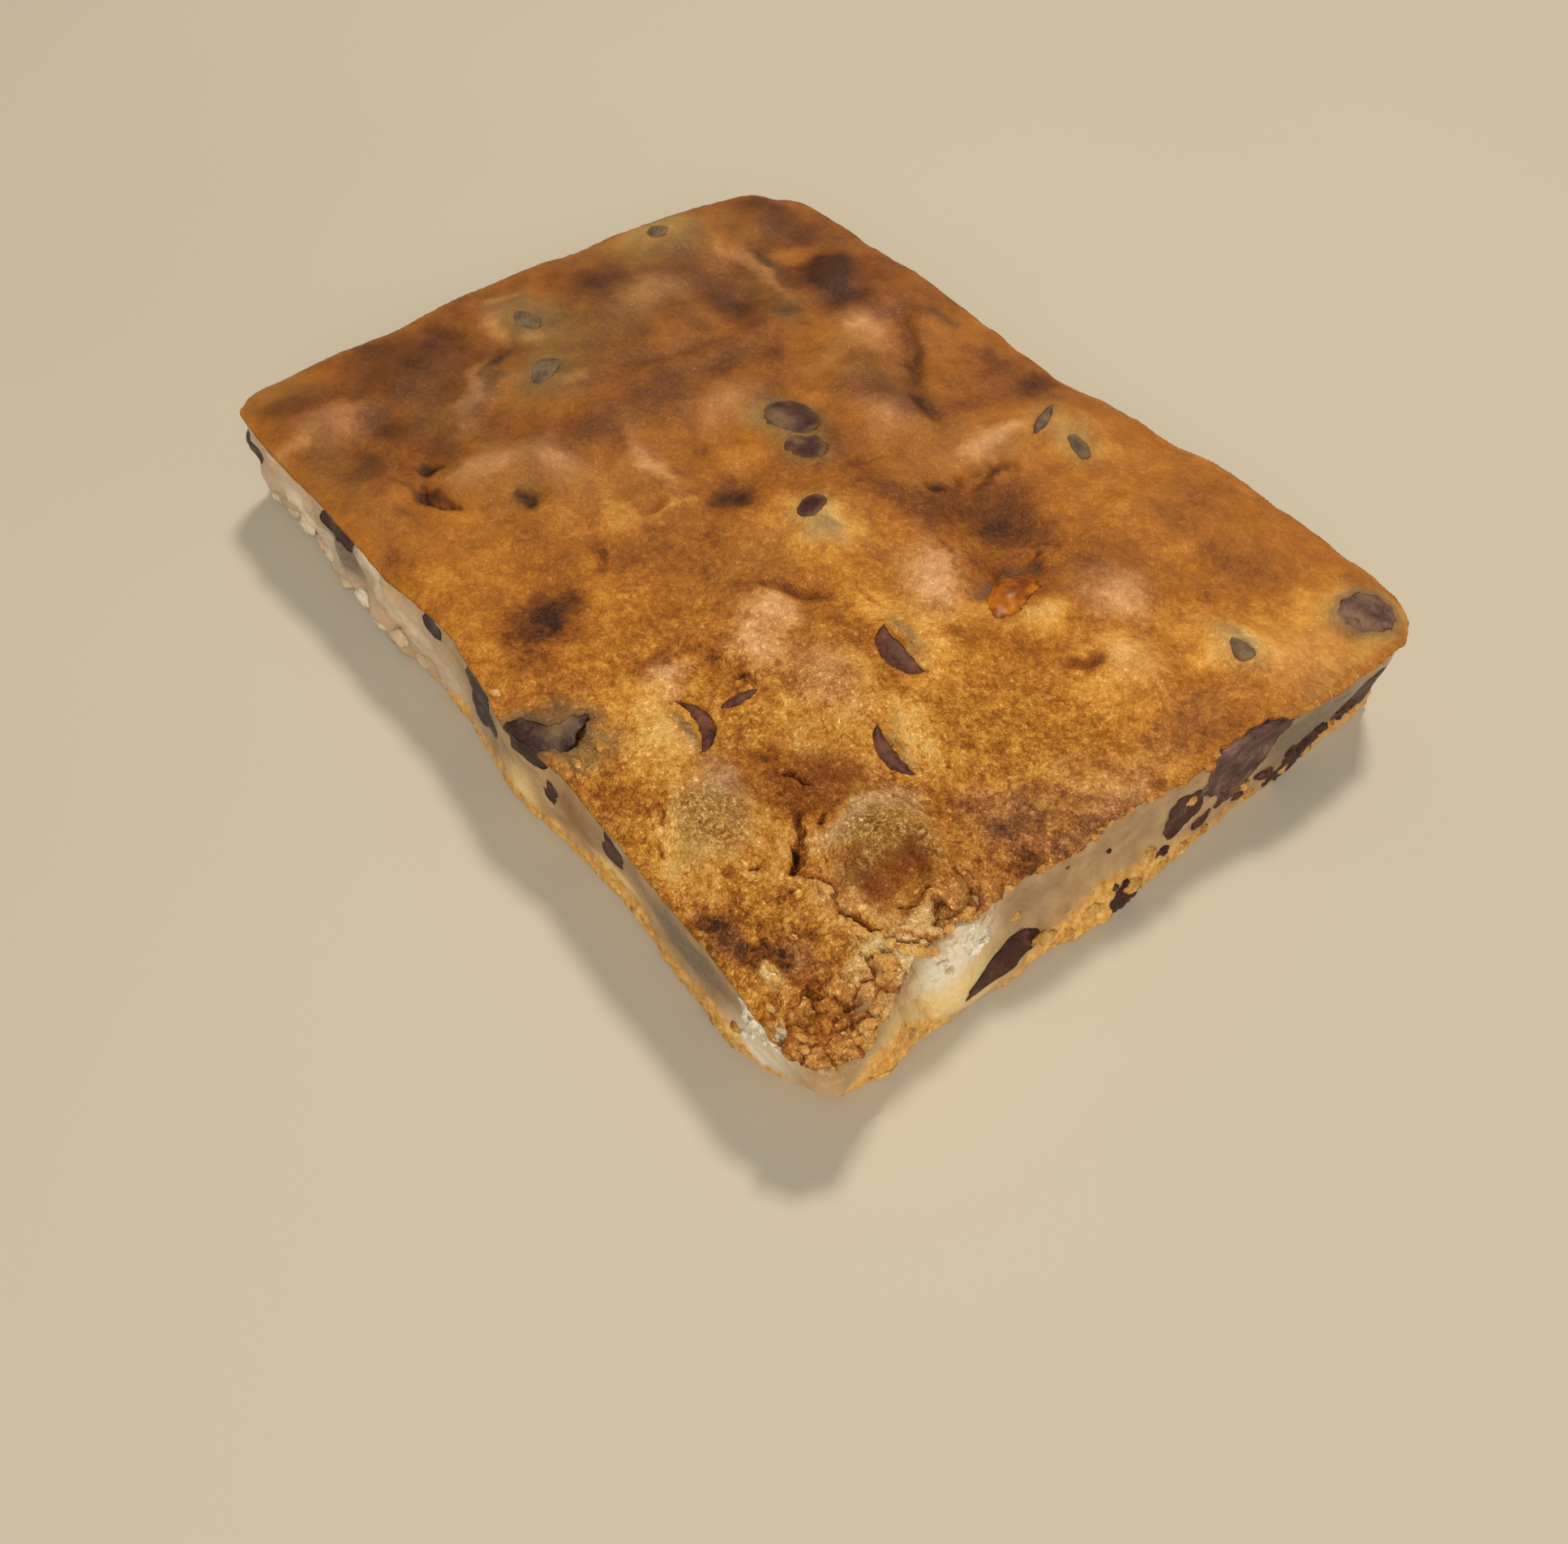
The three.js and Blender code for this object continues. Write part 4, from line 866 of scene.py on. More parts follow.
chunks = {
    "rows": (  # x, y, half length, half width, how far it stands out, turn, tone (0 pale crumb, 1 orange crust)
        (51.0, -31.4, 0.9, 0.6, 0.3, 10, 0.1), (52.4, -31.0, 0.7, 0.6, 0.35, 60, 0.0),
        (53.6, -30.4, 0.8, 0.6, 0.35, 20, 0.1), (54.6, -29.2, 0.9, 0.6, 0.35, 40, 0.0),
        (55.2, -28.0, 0.6, 0.5, 0.25, 70, 0.2), (51.9, -32.6, 0.8, 0.5, 0.3, 20, 0.1),
        (53.6, -32.6, 1.1, 0.9, 0.5, 15, 0.45), (54.7, -33.3, 0.7, 0.5, 0.3, 60, 0.35),
        (49.5, -32.4, 0.7, 0.4, 0.25, 30, 0.1), (56.0, -35.9, 0.8, 0.5, 0.3, 80, 0.4),
        (56.6, -37.2, 0.9, 0.6, 0.3, 50, 0.5), (57.2, -38.9, 0.8, 0.5, 0.3, 70, 0.6),
        (53.8, -42.9, 0.7, 0.4, 0.3, 20, 0.3), (49.5, -43.3, 0.6, 0.4, 0.3, 0, 0.2),
        (54.8, -43.4, 0.6, 0.4, 0.3, 10, 0.4), (47.4, -41.1, 0.7, 0.35, 0.3, 10, 0.1),
        (48.5, -41.5, 0.6, 0.35, 0.3, 30, 0.0), (54.5, -25.6, 0.7, 0.5, 0.25, 80, 0.3),
        (54.3, -22.6, 0.6, 0.5, 0.25, 70, 0.5), (16.5, -38.6, 0.8, 0.6, 0.3, 20, 0.5),
        (16.4, -41.6, 0.6, 0.4, 0.25, -10, 0.1), (54.8, -17.9, 0.5, 0.4, 0.2, 80, 0.5),
        (3.2, -43.4, 0.7, 0.5, 0.25, 20, 0.3), (44.2, -31.9, 1.0, 0.5, 0.2, 10, 0.4),
    ),
    "walls": {  # place along the face, z, half sizes, how far it stands out, tone if it isn't 0
        longFace: (
            (41.5, 2.0, 1.6, 1.2, 0.5, 0.6), (43.6, 3.8, 1.5, 1.5, 0.6, 0.7), (45.6, 2.2, 1.3, 1.4, 0.5, 0.5),
            (46.4, 5.6, 0.9, 1.0, 0.4, 0.8), (38.4, 1.2, 1.4, 0.7, 0.4, 0.6), (33.0, 1.0, 1.2, 0.6, 0.35, 0.5),
            (27.4, 1.2, 1.3, 0.6, 0.35, 0.5), (21.0, 1.3, 1.2, 0.7, 0.35, 0.4), (11.4, 2.4, 1.0, 0.8, 0.35, 0.3),
        ),
        shortFace: (
            (-40.0, 2.6, 1.2, 1.4, 0.5, 0.7), (-37.4, 4.0, 1.3, 1.6, 0.6, 0.6), (-34.8, 2.4, 1.4, 1.5, 0.6, 0.5),
            (-32.2, 4.8, 1.2, 1.3, 0.5, 0.3), (-33.4, 7.4, 0.9, 0.8, 0.35, 0.2), (-30.0, 2.0, 1.0, 1.0, 0.5, 0.4),
            (-16.6, 8.6, 0.9, 0.8, 0.4, 0.1), (-13.4, 3.6, 1.4, 1.2, 0.5, 0.2), (-10.6, 2.4, 1.6, 1.3, 0.5, 0.3),
            (-7.4, 3.8, 1.5, 1.2, 0.5, 0.2), (-5.0, 1.8, 1.4, 1.1, 0.5, 0.4), (-1.6, 3.4, 1.6, 1.2, 0.6, 0.2),
            (1.4, 5.2, 1.3, 1.0, 0.5, 0.1), (3.4, 2.4, 1.5, 1.2, 0.5, 0.3), (7.3, 9.5, 0.8, 0.7, 0.4, 0.1),
            (6.6, 3.0, 1.2, 1.0, 0.5, 0.4), (10.4, 2.2, 1.0, 0.9, 0.4, 0.5), (14.6, 2.6, 0.9, 0.8, 0.4, 0.4),
            (17.3, 4.5, 0.8, 0.6, 0.4, 0.1), (19.0, 1.8, 1.0, 0.8, 0.4, 0.5), (23.6, 3.2, 0.9, 0.7, 0.4, 0.5),
            (28.6, 2.0, 1.0, 0.8, 0.4, 0.6), (33.0, 3.0, 0.9, 0.8, 0.4, 0.5), (37.4, 2.2, 0.9, 0.7, 0.4, 0.6),
        ),
    },
    "paste": {  # lumps at the foot of a face; the last number is how white each is
        longFace: (
            (-56.0, 2.2, 1.8, 1.3, 0.7, 0.6), (-52.4, 1.6, 1.6, 1.0, 0.5, 0.2), (-48.2, 2.3, 2.0, 1.4, 0.8, 0.7),
            (-44.4, 1.4, 1.5, 0.9, 0.5, 0.0), (-40.6, 2.4, 1.8, 1.4, 0.6, 0.4), (-36.4, 1.7, 1.9, 1.1, 0.7, 0.1),
            (-31.6, 2.0, 1.6, 1.2, 0.6, 0.9), (-27.0, 1.7, 2.0, 1.1, 0.7, 0.5), (-22.4, 2.3, 1.7, 1.3, 0.6, 0.2),
            (-17.6, 1.6, 1.8, 1.0, 0.6, 0.1), (-12.6, 1.9, 1.6, 1.1, 0.5, 0.0),
        ),
    },
    "chocolate": {  # broken bits of chip
        shortFace: (
            (3.6, 4.2, 1.5, 0.7, 0.3), (9.6, 4.8, 1.6, 1.0, 0.35), (13.0, 5.4, 1.7, 1.1, 0.4),
            (16.4, 3.4, 1.1, 0.7, 0.35), (20.4, 4.6, 1.8, 1.0, 0.4), (23.4, 6.2, 1.3, 0.9, 0.35),
            (26.8, 5.0, 1.5, 0.9, 0.4), (30.4, 4.4, 1.2, 0.8, 0.35), (33.4, 6.4, 1.6, 0.9, 0.35),
            (36.4, 4.0, 1.2, 0.7, 0.35), (-4.0, 4.9, 0.5, 0.4, 0.5), (-4.0, 9.4, 0.4, 0.3, 0.15),
            (-10.3, 12.0, 0.35, 0.25, 0.12), (21.0, 2.2, 0.8, 0.6, 0.3), (28.8, 6.6, 0.9, 0.6, 0.3),
        ),
    },
    "whiteShort": {  # dried white chocolate, in thin plates
        shortFace: (
            (-21.6, 11.0, 1.3, 0.5, 0.34), (-22.8, 10.0, 1.0, 0.6, 0.4), (-21.2, 9.6, 0.6, 0.4, 0.25),
            (-23.6, 13.6, 0.9, 0.5, 0.26), (-22.4, 13.2, 0.3, 0.2, 0.2), (-24.4, 12.2, 0.3, 0.2, 0.16),
            (-27.0, 11.0, 0.8, 0.3, 0.16), (-26.2, 9.8, 0.5, 0.4, 0.14), (-28.0, 9.6, 0.6, 0.26, 0.12),
        ),
    },
    "whiteLong": {
        longFace: (
            (48.2, 12.6, 1.2, 1.3, 0.4), (49.5, 11.2, 1.1, 1.2, 0.5), (47.8, 10.6, 0.8, 1.1, 0.34),
            (51.4, 11.6, 1.0, 0.9, 0.36), (50.6, 9.4, 0.8, 0.8, 0.26), (48.8, 8.4, 0.7, 0.9, 0.2),
            (52.6, 10.4, 0.9, 0.9, 0.26), (51.8, 8.2, 0.7, 0.9, 0.16), (47.6, 6.6, 0.6, 1.1, 0.18),
            (49.4, 5.4, 0.6, 0.8, 0.16),
        ),
    },
    "uneven": ((0.34, 0.8, 361), (0.12, 0.3, 362)),  # of a lump: strength, patch as a share of its size, seed
    "grain": 0.5,
    "crumble": 0.16,  # how deep the grain of a lump is, as a share of its size
    "flakeCrumble": 0.3,
    "pasteCrumble": 0.06,
    "squat": 0.5,  # height of a lump on the crust, as a share of its width
    "lowest": 0.05,  # where a lump at the foot of a face is cut off
    "edge": {  # crumbs along the crust's short edge
        "along": (-14.0, 34.0, 1.3),  # from, to, how far apart
        "scraped": (8.5, 22),  # where the knife dragged the skin off
        "bare": -0.3,  # no crumb where its draw is below this
        "sink": 0.35,
        "size": (0.42, 0.22),  # middling half size, and how far it strays
    },
}


def unevenLumps(name, places, crumble):  # each place: middle, three directions, half sizes, tone
    sphere, triangles = crumbBall
    vertices, faces, tone = [], [], []
    for number, (middle, axes, sizes, shade) in enumerate(places):
        shift = sphere + 5.0 * number
        push = sum((strength * noise(shift, cell, seed) for strength, cell, seed in chunks["uneven"]), start=1)
        local = sphere * push[:, None] * np.array(sizes)
        nearest, second, draw = cellular(local + 7.0 * number, chunks["grain"], 363)
        local *= (1 + crumble * (draw - 0.5) - 0.75 * crumble * np.exp(-((second - nearest) / 0.1) ** 2))[:, None]
        placed = local @ axes + middle
        placed[:, 2] = np.maximum(placed[:, 2], chunks["lowest"])
        vertices.append(placed)
        faces.append(triangles + number * len(sphere))
        tone.append(np.full(len(sphere), shade))
    piece = makeMesh(name, np.concatenate(vertices), np.concatenate(faces).tolist())
    paint(piece, tone=np.concatenate(tone))
    return piece


def wallPlaces(rows):
    places = []
    for side, group in rows.items():
        for along, z, halfAlong, halfUp, out, *tone in group:
            middle, axes = wallAt(side, along, z)
            thick = 0.5 * min(halfAlong, halfUp) + 0.2
            places.append((middle + axes[1] * (out - thick), axes, (halfAlong, thick, halfUp), sum(tone)))
    return places


def edgePlaces():
    edge, places = chunks["edge"], []
    scrapedFrom, scrapedTo = edge["scraped"]
    for along in np.arange(*edge["along"]):
        draw = noise(np.array([[along, 3.0]]), 1.1, 371)[0]
        if scrapedFrom < along < scrapedTo or draw < edge["bare"]:
            continue
        middle, axes = wallAt(shortFace, along + 0.5 * draw, slab["height"])
        middle[2] = crustHeight((middle - 0.6 * axes[1])[None, :2])[0] - edge["sink"]
        size = edge["size"][0] + edge["size"][1] * draw
        places.append((middle + 0.15 * draw * axes[1], axes, (1.4 * size, size, 0.8 * size), 0.75 + 0.25 * draw))
    return places


def makeChunks():
    places = []
    for x, y, long, wide, high, turn, shade in chunks["rows"]:
        thick = chunks["squat"] * wide
        ground = crustHeight(np.array([[x, y]]))[0]
        places.append((np.array([x, y, ground + high - thick]), turnedBy(turn), (long, wide, thick), shade))
    return unevenLumps("crustChunks", places + edgePlaces() + wallPlaces(chunks["walls"]), chunks["crumble"])


def makeExtras():
    made = {"caramel_lump": lumpPiece("caramelLump", **extras["caramel"])}
    pocket = lumpPiece("pocketTool", grow=extras["pocketGap"], **extras["caramel"])
    carve(denseCrumb, [pocket], "DIFFERENCE")
    carve(brownedCrust, [pocket], "DIFFERENCE")
    discard([pocket])
    for node, rows in extras["flakes"].items():
        made[node] = unevenLumps(node + "_plates", wallPlaces(chunks[rows]), chunks["flakeCrumble"])
    return made


extraPieces = makeExtras()
crustChunks = makeChunks()
chocolateBits = unevenLumps("chocolateBits", wallPlaces(chunks["chocolate"]), chunks["crumble"])
pasteLumps = unevenLumps("pasteLumps", wallPlaces(chunks["paste"]), chunks["pasteCrumble"])
pasteWhite = np.repeat([row[-1] for row in chunks["paste"][longFace]], len(crumbBall[0]))
paint(pasteLumps, white=pasteWhite, blush=0.8 - 0.6 * pasteWhite)


looseCrumbs = {
    "density": 2e6,  # for each square metre of broken edge
    "seed": 23,
    "smallest": 0.0001,  # half size in metres
    "largest": 0.00034,
    "unevenness": 0.0004,
}


def scatterTree():  # strews uneven little crumbs over a surface, thickest where the skin is torn
    tree = bpy.data.node_groups.new("strewCrumbs", "GeometryNodeTree")
    for name, kind in (("Surface", "Geometry"), ("Density", "Float"), ("Seed", "Int"), ("Smallest", "Float"),
                       ("Largest", "Float"), ("Unevenness", "Float"), ("Material", "Material")):
        tree.interface.new_socket(name, in_out="INPUT", socket_type="NodeSocket" + kind)
    tree.interface.new_socket("Crumbs", in_out="OUTPUT", socket_type="NodeSocketGeometry")
    given = addNode(tree, "NodeGroupInput").outputs
    torn = addNode(tree, "GeometryNodeInputNamedAttribute", {"data_type": "FLOAT", "Name": "strewn"})
    thick = addNode(tree, "ShaderNodeMath", {
        "operation": "MULTIPLY", 0: torn.outputs["Attribute"], 1: given["Density"]})
    strewn = addNode(tree, "GeometryNodeDistributePointsOnFaces", {
        "Mesh": given["Surface"], "Density": thick.outputs[0], "Seed": given["Seed"]})
    ball = addNode(tree, "GeometryNodeMeshUVSphere", {"Segments": 7, "Rings": 5, "Radius": 1.0})
    size = addNode(tree, "FunctionNodeRandomValue", {
        "data_type": "FLOAT", 2: given["Smallest"], 3: given["Largest"], "Seed": given["Seed"]})
    shape = addNode(tree, "FunctionNodeRandomValue", {
        "data_type": "FLOAT_VECTOR", 0: (0.8, 0.6, 0.5), 1: (1.5, 1.1, 0.9)})
    sized = addNode(tree, "ShaderNodeVectorMath", {
        "operation": "SCALE", 0: shape.outputs[0], "Scale": size.outputs[1]})
    turned = addNode(tree, "FunctionNodeRandomValue", {"data_type": "FLOAT_VECTOR", 1: (0.6, 0.6, 6.28)})
    placed = addNode(tree, "GeometryNodeInstanceOnPoints", {
        "Points": strewn.outputs["Points"], "Instance": ball.outputs["Mesh"], "Rotation": turned.outputs[0],
        "Scale": sized.outputs[0]})
    tone = addNode(tree, "FunctionNodeRandomValue", {"data_type": "FLOAT"})
    toned = addNode(tree, "GeometryNodeStoreNamedAttribute", {
        "data_type": "FLOAT", "domain": "INSTANCE", "Name": "tone", "Geometry": placed.outputs[0],
        "Value": tone.outputs[1]})
    solid = addNode(tree, "GeometryNodeRealizeInstances", {"Geometry": toned.outputs[0]})
    rough = addNode(tree, "ShaderNodeTexNoise", {"Scale": 2600.0, "Detail": 1.0})
    centred = addNode(tree, "ShaderNodeVectorMath", {
        "operation": "SUBTRACT", 0: rough.outputs["Color"], 1: (0.5, 0.5, 0.5)})
    pushed = addNode(tree, "ShaderNodeVectorMath", {
        "operation": "SCALE", 0: centred.outputs[0], "Scale": given["Unevenness"]})
    uneven = addNode(tree, "GeometryNodeSetPosition", {"Geometry": solid.outputs[0], "Offset": pushed.outputs[0]})
    coloured = addNode(tree, "GeometryNodeSetMaterial", {
        "Geometry": uneven.outputs[0], "Material": given["Material"]})
    addNode(tree, "NodeGroupOutput", {"Crumbs": coloured.outputs[0]})
    return tree


def makeLooseCrumbs(material):
    surface = addObject("tornSurface", brownedCrust.data.copy())
    strew = surface.modifiers.new("strewCrumbs", "NODES")
    strew.node_group = scatterTree()
    values = {"Material": material, **{name.capitalize(): value for name, value in looseCrumbs.items()}}
    for item in strew.node_group.interface.items_tree:
        if item.in_out == "INPUT" and item.name in values:
            strew[item.identifier] = values[item.name]
    made = plainMesh(surface)
    discard([surface])
    return addObject("looseCrumbs", made)


# Where each colour lies, painted light and shade among them

browning = {  # x, y, half sizes, turn if it has one, amount
    "start": 0.505,
    "reach": {"oval": 1.5, "opening": 1.2, "film": 0.9, "rim": 0.45},  # of the tints round the openings
    # browner spots; those along folds and the broad ones over the far half are painted shade
    "darkerAndShaded": (
        (26, 35, 14, 8, 0.08), (34, 17.5, 3.4, 2.4, 0.08), (28, 16, 3, 3, 0.05), (-6, -1, 3, 6, 0.08),
        (-5, -22, 2.4, 7, 0.07), (0, -33, 2.4, 4, 0.1), (20, -11, 5, 2, 20, 0.06), (-9, 20, 5, 3, 0.09),
        (-2, 31, 4, 6, 0.07), (-20, -4, 6, 5, 0.05), (-20, -10, 4, 2, 0.06), (-46, 23, 5, 5, 0.06),
        (-40, 29, 4, 2, 0.06), (-50, 5, 4, 4, 0.07), (-48, -25, 4, 3, 0.08), (-58, 2, 4, 10, 0.05),
        (6, 41, 10, 4, 0.1), (28, -30, 2.6, 2, 0.06), (9, -39, 6, 3, 0.06), (-3, -14, 4, 6, 0.05),
        # front corner
        (34.2, -23.2, 3.8, 2.8, 10, 0.32), (32, -27.2, 5, 2.2, -5, 0.32), (36.5, -27, 2, 1.6, 0.16),
        (23.5, -40.5, 4, 2.4, 0.2), (47.2, -38.6, 3.6, 2.0, 0.05), (42, -42.2, 3.6, 1.5, 0.46),
        (39.5, -42.2, 2, 1.2, 0.24), (46.5, -37.5, 5, 3, 20, 0.16), (44.5, -40, 4, 2, 20, 0.2),
        (49.6, -13.5, 4.4, 2.4, 0.22), (52.5, -17.5, 2, 2, 0.14), (50.5, -20, 2.4, 1.2, 20, 0.14),
        (54.6, -14.6, 1.6, 1.4, 0.2), (45, -28.2, 4.2, 1.7, 0.2), (47.8, -23.3, 2.6, 2.3, 15, 0.28),
        (47, -26.8, 2.8, 2.2, -30, 0.22), (44.6, -25, 5, 4.6, 0.08), (51.3, -39.4, 1.2, 0.6, 35, 0.3),
        (48.5, -40, 3.4, 1.8, 30, 0.14), (53, -42, 2.4, 1.4, 0.12), (54.6, -38.5, 1.6, 2, 0.08),
        # right and middle; the narrow row beside the fold near x 11, y 22 is painted shade
        (53.2, 11, 2.8, 6.6, 0.12), (55, -7, 1.5, 7.5, 0.08), (40, 32.3, 4.4, 1.8, 8, 0.18),
        (16, 19.5, 6.8, 4.6, 10, 0.26), (18.8, 16.6, 4.2, 3, 0.24), (8, 11, 11, 3, 0.24), (30, 20.5, 3.6, 3, 0.14),
        (16, 23.5, 2.4, 4, 0.12), (26, 14.5, 2.8, 3, 0.12), (3, 32, 3.6, 7, 0.1), (20, -8, 4, 2.4, 0.14),
        (33, 31, 5, 4, 0.06), (22.5, 20, 2.8, 2.2, 0.12), (12, 17, 2.4, 3.6, 0.12), (25, 9.6, 1.0, 3.8, 0.26),
        (22.4, 11, 1.9, 3.2, 0.14), (39.8, 8.3, 0.9, 2.0, 0.36), (8.8, 16, 1.1, 0.7, 0.5),
        (14, -22.2, 3.8, 1.3, 12, 0.2), (18.8, -20.8, 1.6, 0.5, 5, 0.3), (10.8, -27.2, 1, 3.4, 0.16),
        (7, -24.2, 3, 1, 0.12), (11, -9.3, 3.6, 1.0, 22, 0.22), (13.8, -7.6, 1.4, 1.4, 0.14), (5, -8, 5.6, 9, 0.07),
        (0, -18, 7, 6, 0.05), (-2.6, -32.6, 2.9, 4.6, 8, 0.46), (-1, -38, 3.6, 2.4, 0.2),
        (-6.5, -28.5, 2.4, 2, 0.14), (-5.8, -4.6, 2.5, 3.4, 0.34), (-1, -8, 3, 3, 0.1), (3, 39.3, 3, 4, 0.22),
        (-4.5, 38.3, 4.6, 2.8, 0.16), (11.2, 22.4, 0.9, 3.4, 12, 0.2),
        # far half, with painted shade along its folds and a broad painted shade over it, which is partly real browning
        (-33.4, 34, 3.7, 3.8, 0.6), (-28, 33, 3, 4, 0.22), (-41, 29, 3.4, 0.9, -8, 0.16), (-22, 32, 5, 2, 0.14),
        (-27, -8, 4, 9, 0.18), (-37, -26, 7, 7, 0.16), (-42, -38, 9, 4, 0.14), (-12, -24, 5, 4, 0.1),
        (-7, 22.5, 4.4, 2.4, 0.16), (-49, 12, 3, 7, 0.14), (-46, 20, 6, 2.6, 0.1), (-20, -30, 9, 5, 0.06),
        (-31, 24.2, 2.2, 1.1, 0.16), (-36.5, 20.2, 4.8, 2.8, 0.24), (-24.5, 16.6, 2.6, 2.2, 0.14),
        (-27.2, 11.8, 2, 3.4, 0.14), (-27.2, 1.6, 3, 3.4, 0.14), (-51.8, 8, 2.6, 5, 0.18),
        (-16, 39.2, 2.4, 1.4, 0.16), (-48, 37.8, 8.5, 3.4, 0.14), (-10.8, 31, 7, 1.2, -38, 0.16),
        (-3, 24.6, 3.6, 1.0, -12, 0.18), (-53, -22, 7.6, 9.6, 0.2), (-44.2, -31.4, 3, 2.4, 0.22),
        (-36.6, -36, 2.8, 3, 0.2), (-33.2, -30.7, 1.2, 0.8, 0.5), (-28.6, -32.9, 4, 0.9, 22, 0.34),
        (-20.4, -23.6, 1.7, 1.3, -48, 0.55), (-43.8, -14.8, 5.6, 1.1, -50, 0.24), (-28.2, -37, 2.2, 1.6, 0.14),
        (-20.5, -41.4, 3.6, 1.6, 0.14), (-54, -38, 4, 4, 0.14), (-7.4, -23, 2.4, 0.6, -32, 0.2),
        (-36, 22, 34, 26, 0.17), (-52, -18, 14, 24, 0.1), (-38, -20, 20, 22, 0.1), (-40, 40, 24, 8, 0.08),
        (-10, 10, 16, 14, 0.04), (-35, -6, 5, 8, 0.06), (-14, -30, 4, 4, 0.04),
    ),
    # paler spots; the broad one over the front corner is painted light, and those on the rises near the front are
    # partly painted highlight
    "lighterAndLit": (
        (33.5, -14.5, 4.5, 3, -10, 0.12), (50.5, -20, 3.4, 2.4, 0.12), (46.5, -28, 4, 2, 0.08),
        (54, -24, 1.6, 4, 0.1), (21.5, -6, 3, 3, 0.1), (36, -7.5, 8, 3, -15, 0.06), (45, -3, 5, 2.4, 0.06),
        (52.5, -3, 2.8, 6, 0.1), (52.5, 0, 3, 5, 0.1), (53.5, 14, 2.4, 9, 0.09), (49.5, 23.5, 3, 2, 0.14),
        (52.5, 37.5, 3, 4, 0.08), (25, 7.5, 1.8, 2.2, 0.12), (16, -1, 8, 3, 0.04), (33, -24, 7, 5, 0.05),
        (44, -20, 12, 6, 0.05), (36, -34, 14, 8, 0.04), (36, -42, 22, 3, 0.05), (13, -15, 3, 4, 0.05),
        (-25, 0.5, 4, 3, 0.08), (-47, -14, 7, 4, -30, 0.07), (-22, -24.5, 3, 1.6, 0.1), (-53, -5, 3, 3, 0.1),
        # the broad row at 34, -34 is painted light: the front corner brighter than the rest
        (37, 14, 3, 4, 0.05), (34, -34, 30, 18, 0.14), (28, -19.5, 6.4, 5, 0.26), (50.5, -17, 4.4, 3, 0.14),
        (38, -30, 3, 3, 0.16), (19, -37.5, 4, 3.4, 0.16), (35, -41, 5, 3, 0.12), (53, -37, 4, 6, 0.08),
        (50.6, 36, 3.2, 4, 0.2), (46.5, 19.5, 5.6, 2.6, 0.22), (46.4, 6.6, 5.4, 3, 0.2), (27, 5, 3, 4, 0.18),
        (20.5, -3.5, 4.4, 3.4, 0.18), (0.5, -6, 3.6, 4, 0.2), (-22, 24, 5, 3.4, 0.16), (-39.4, 34, 2, 4.4, 0.2),
        (-33, 17, 3.6, 2, 0.12), (-14.5, 7, 2.4, 3.6, 0.12), (44, -5.5, 4.4, 2.6, 0.14), (10.5, 19.5, 3, 3, 0.12),
        # round the chips near the front, partly painted highlight on the rises over them
        (39.4, -24, 0.9, 4, 0.16), (50.6, -29, 3.2, 2.4, 30, 0.16), (27.5, -2.8, 4.6, 2.6, 0.36),
        (30.5, -6.8, 2.4, 3, 0.14), (34.6, -12, 4.8, 2.2, -6, 0.36), (39, -15.5, 1.8, 2.6, 0.16),
        (18.3, -33, 5.6, 2.6, -5, 0.32), (14.5, -31.2, 2, 2.4, 0.14), (12.3, -12.8, 2.8, 2.4, 10, 0.34),
        (15.4, -17.4, 3.2, 2.6, 0.26), (13, -27.4, 1.7, 2.6, 0.24), (22, -16, 4, 2.6, 0.12),
        (24.5, -11.5, 3.6, 2.6, 0.16), (31, -39.6, 4.6, 3.2, 0.18), (30, -35, 4, 3, 0.1),
        (47.5, -32.8, 4.4, 1.8, 0.16), (50, -28.4, 3.4, 1.8, 35, 0.24), (40.2, -27, 1.6, 3, 0.26),
        (40, -20.5, 2, 1.6, 0.16), (51.5, -31.2, 1.9, 1.3, 0.3), (54.2, -29.6, 1.6, 1.6, 0.3),
        (47.9, -41.5, 1.4, 0.9, -15, 0.4), (36, -35, 4, 3, 0.06), (43.5, -33, 2.4, 1.3, 0.2), (45, -12, 4, 3, 0.08),
        (38, -3, 6, 5, 0.08),
        # middle and right; the long row at 20, 4.4 is partly a painted highlight
        (20, 4.4, 6.2, 3.2, -42, 0.24), (35, 18.8, 4, 3.2, 0.22), (7.6, 26.4, 2.0, 4.8, 0.16),
        (8, 30, 1.3, 1.4, 0.12), (7.5, 23.4, 1.3, 1.3, 0.12), (-5, 18.8, 4.6, 3, 0.16), (20, 35, 10, 8, 0.06),
        (32.2, 10, 1.9, 3.2, 0.42), (43, 11.6, 4.2, 3.2, 0.26), (41, 13.4, 1.6, 1.4, 0.12),
        (49, 24.4, 4.4, 3.4, 10, 0.28), (54.6, 29.4, 4.6, 4.4, 0.14), (56, 5.2, 1.2, 2.2, 0.24),
        (56.8, 42, 3, 2.4, 0.24), (58.6, 36, 1.2, 4, 0.2), (6.2, 0.4, 5.4, 4.2, -15, 0.42), (11, 9, 4, 3, 0.08),
        (12, 36.5, 4.6, 4.4, 0.1), (33, 28, 6, 4, 0.06),
        # far half
        (-41.5, 27, 8.5, 1.2, -4, 0.22), (-57, 20.4, 3.6, 6.4, 0.24), (-46.5, 12.5, 3.6, 4, 0.12),
        (-20, 29.6, 4.2, 3.2, -10, 0.24), (-22, 28.6, 1.6, 1.4, 0.12), (-17, 20.6, 3, 4, 0.12),
        (-20.4, 6.4, 3.6, 4.6, 0.12), (-11.5, 2, 2.6, 4, 0.12), (-15, 14.2, 3, 1.8, 0.16),
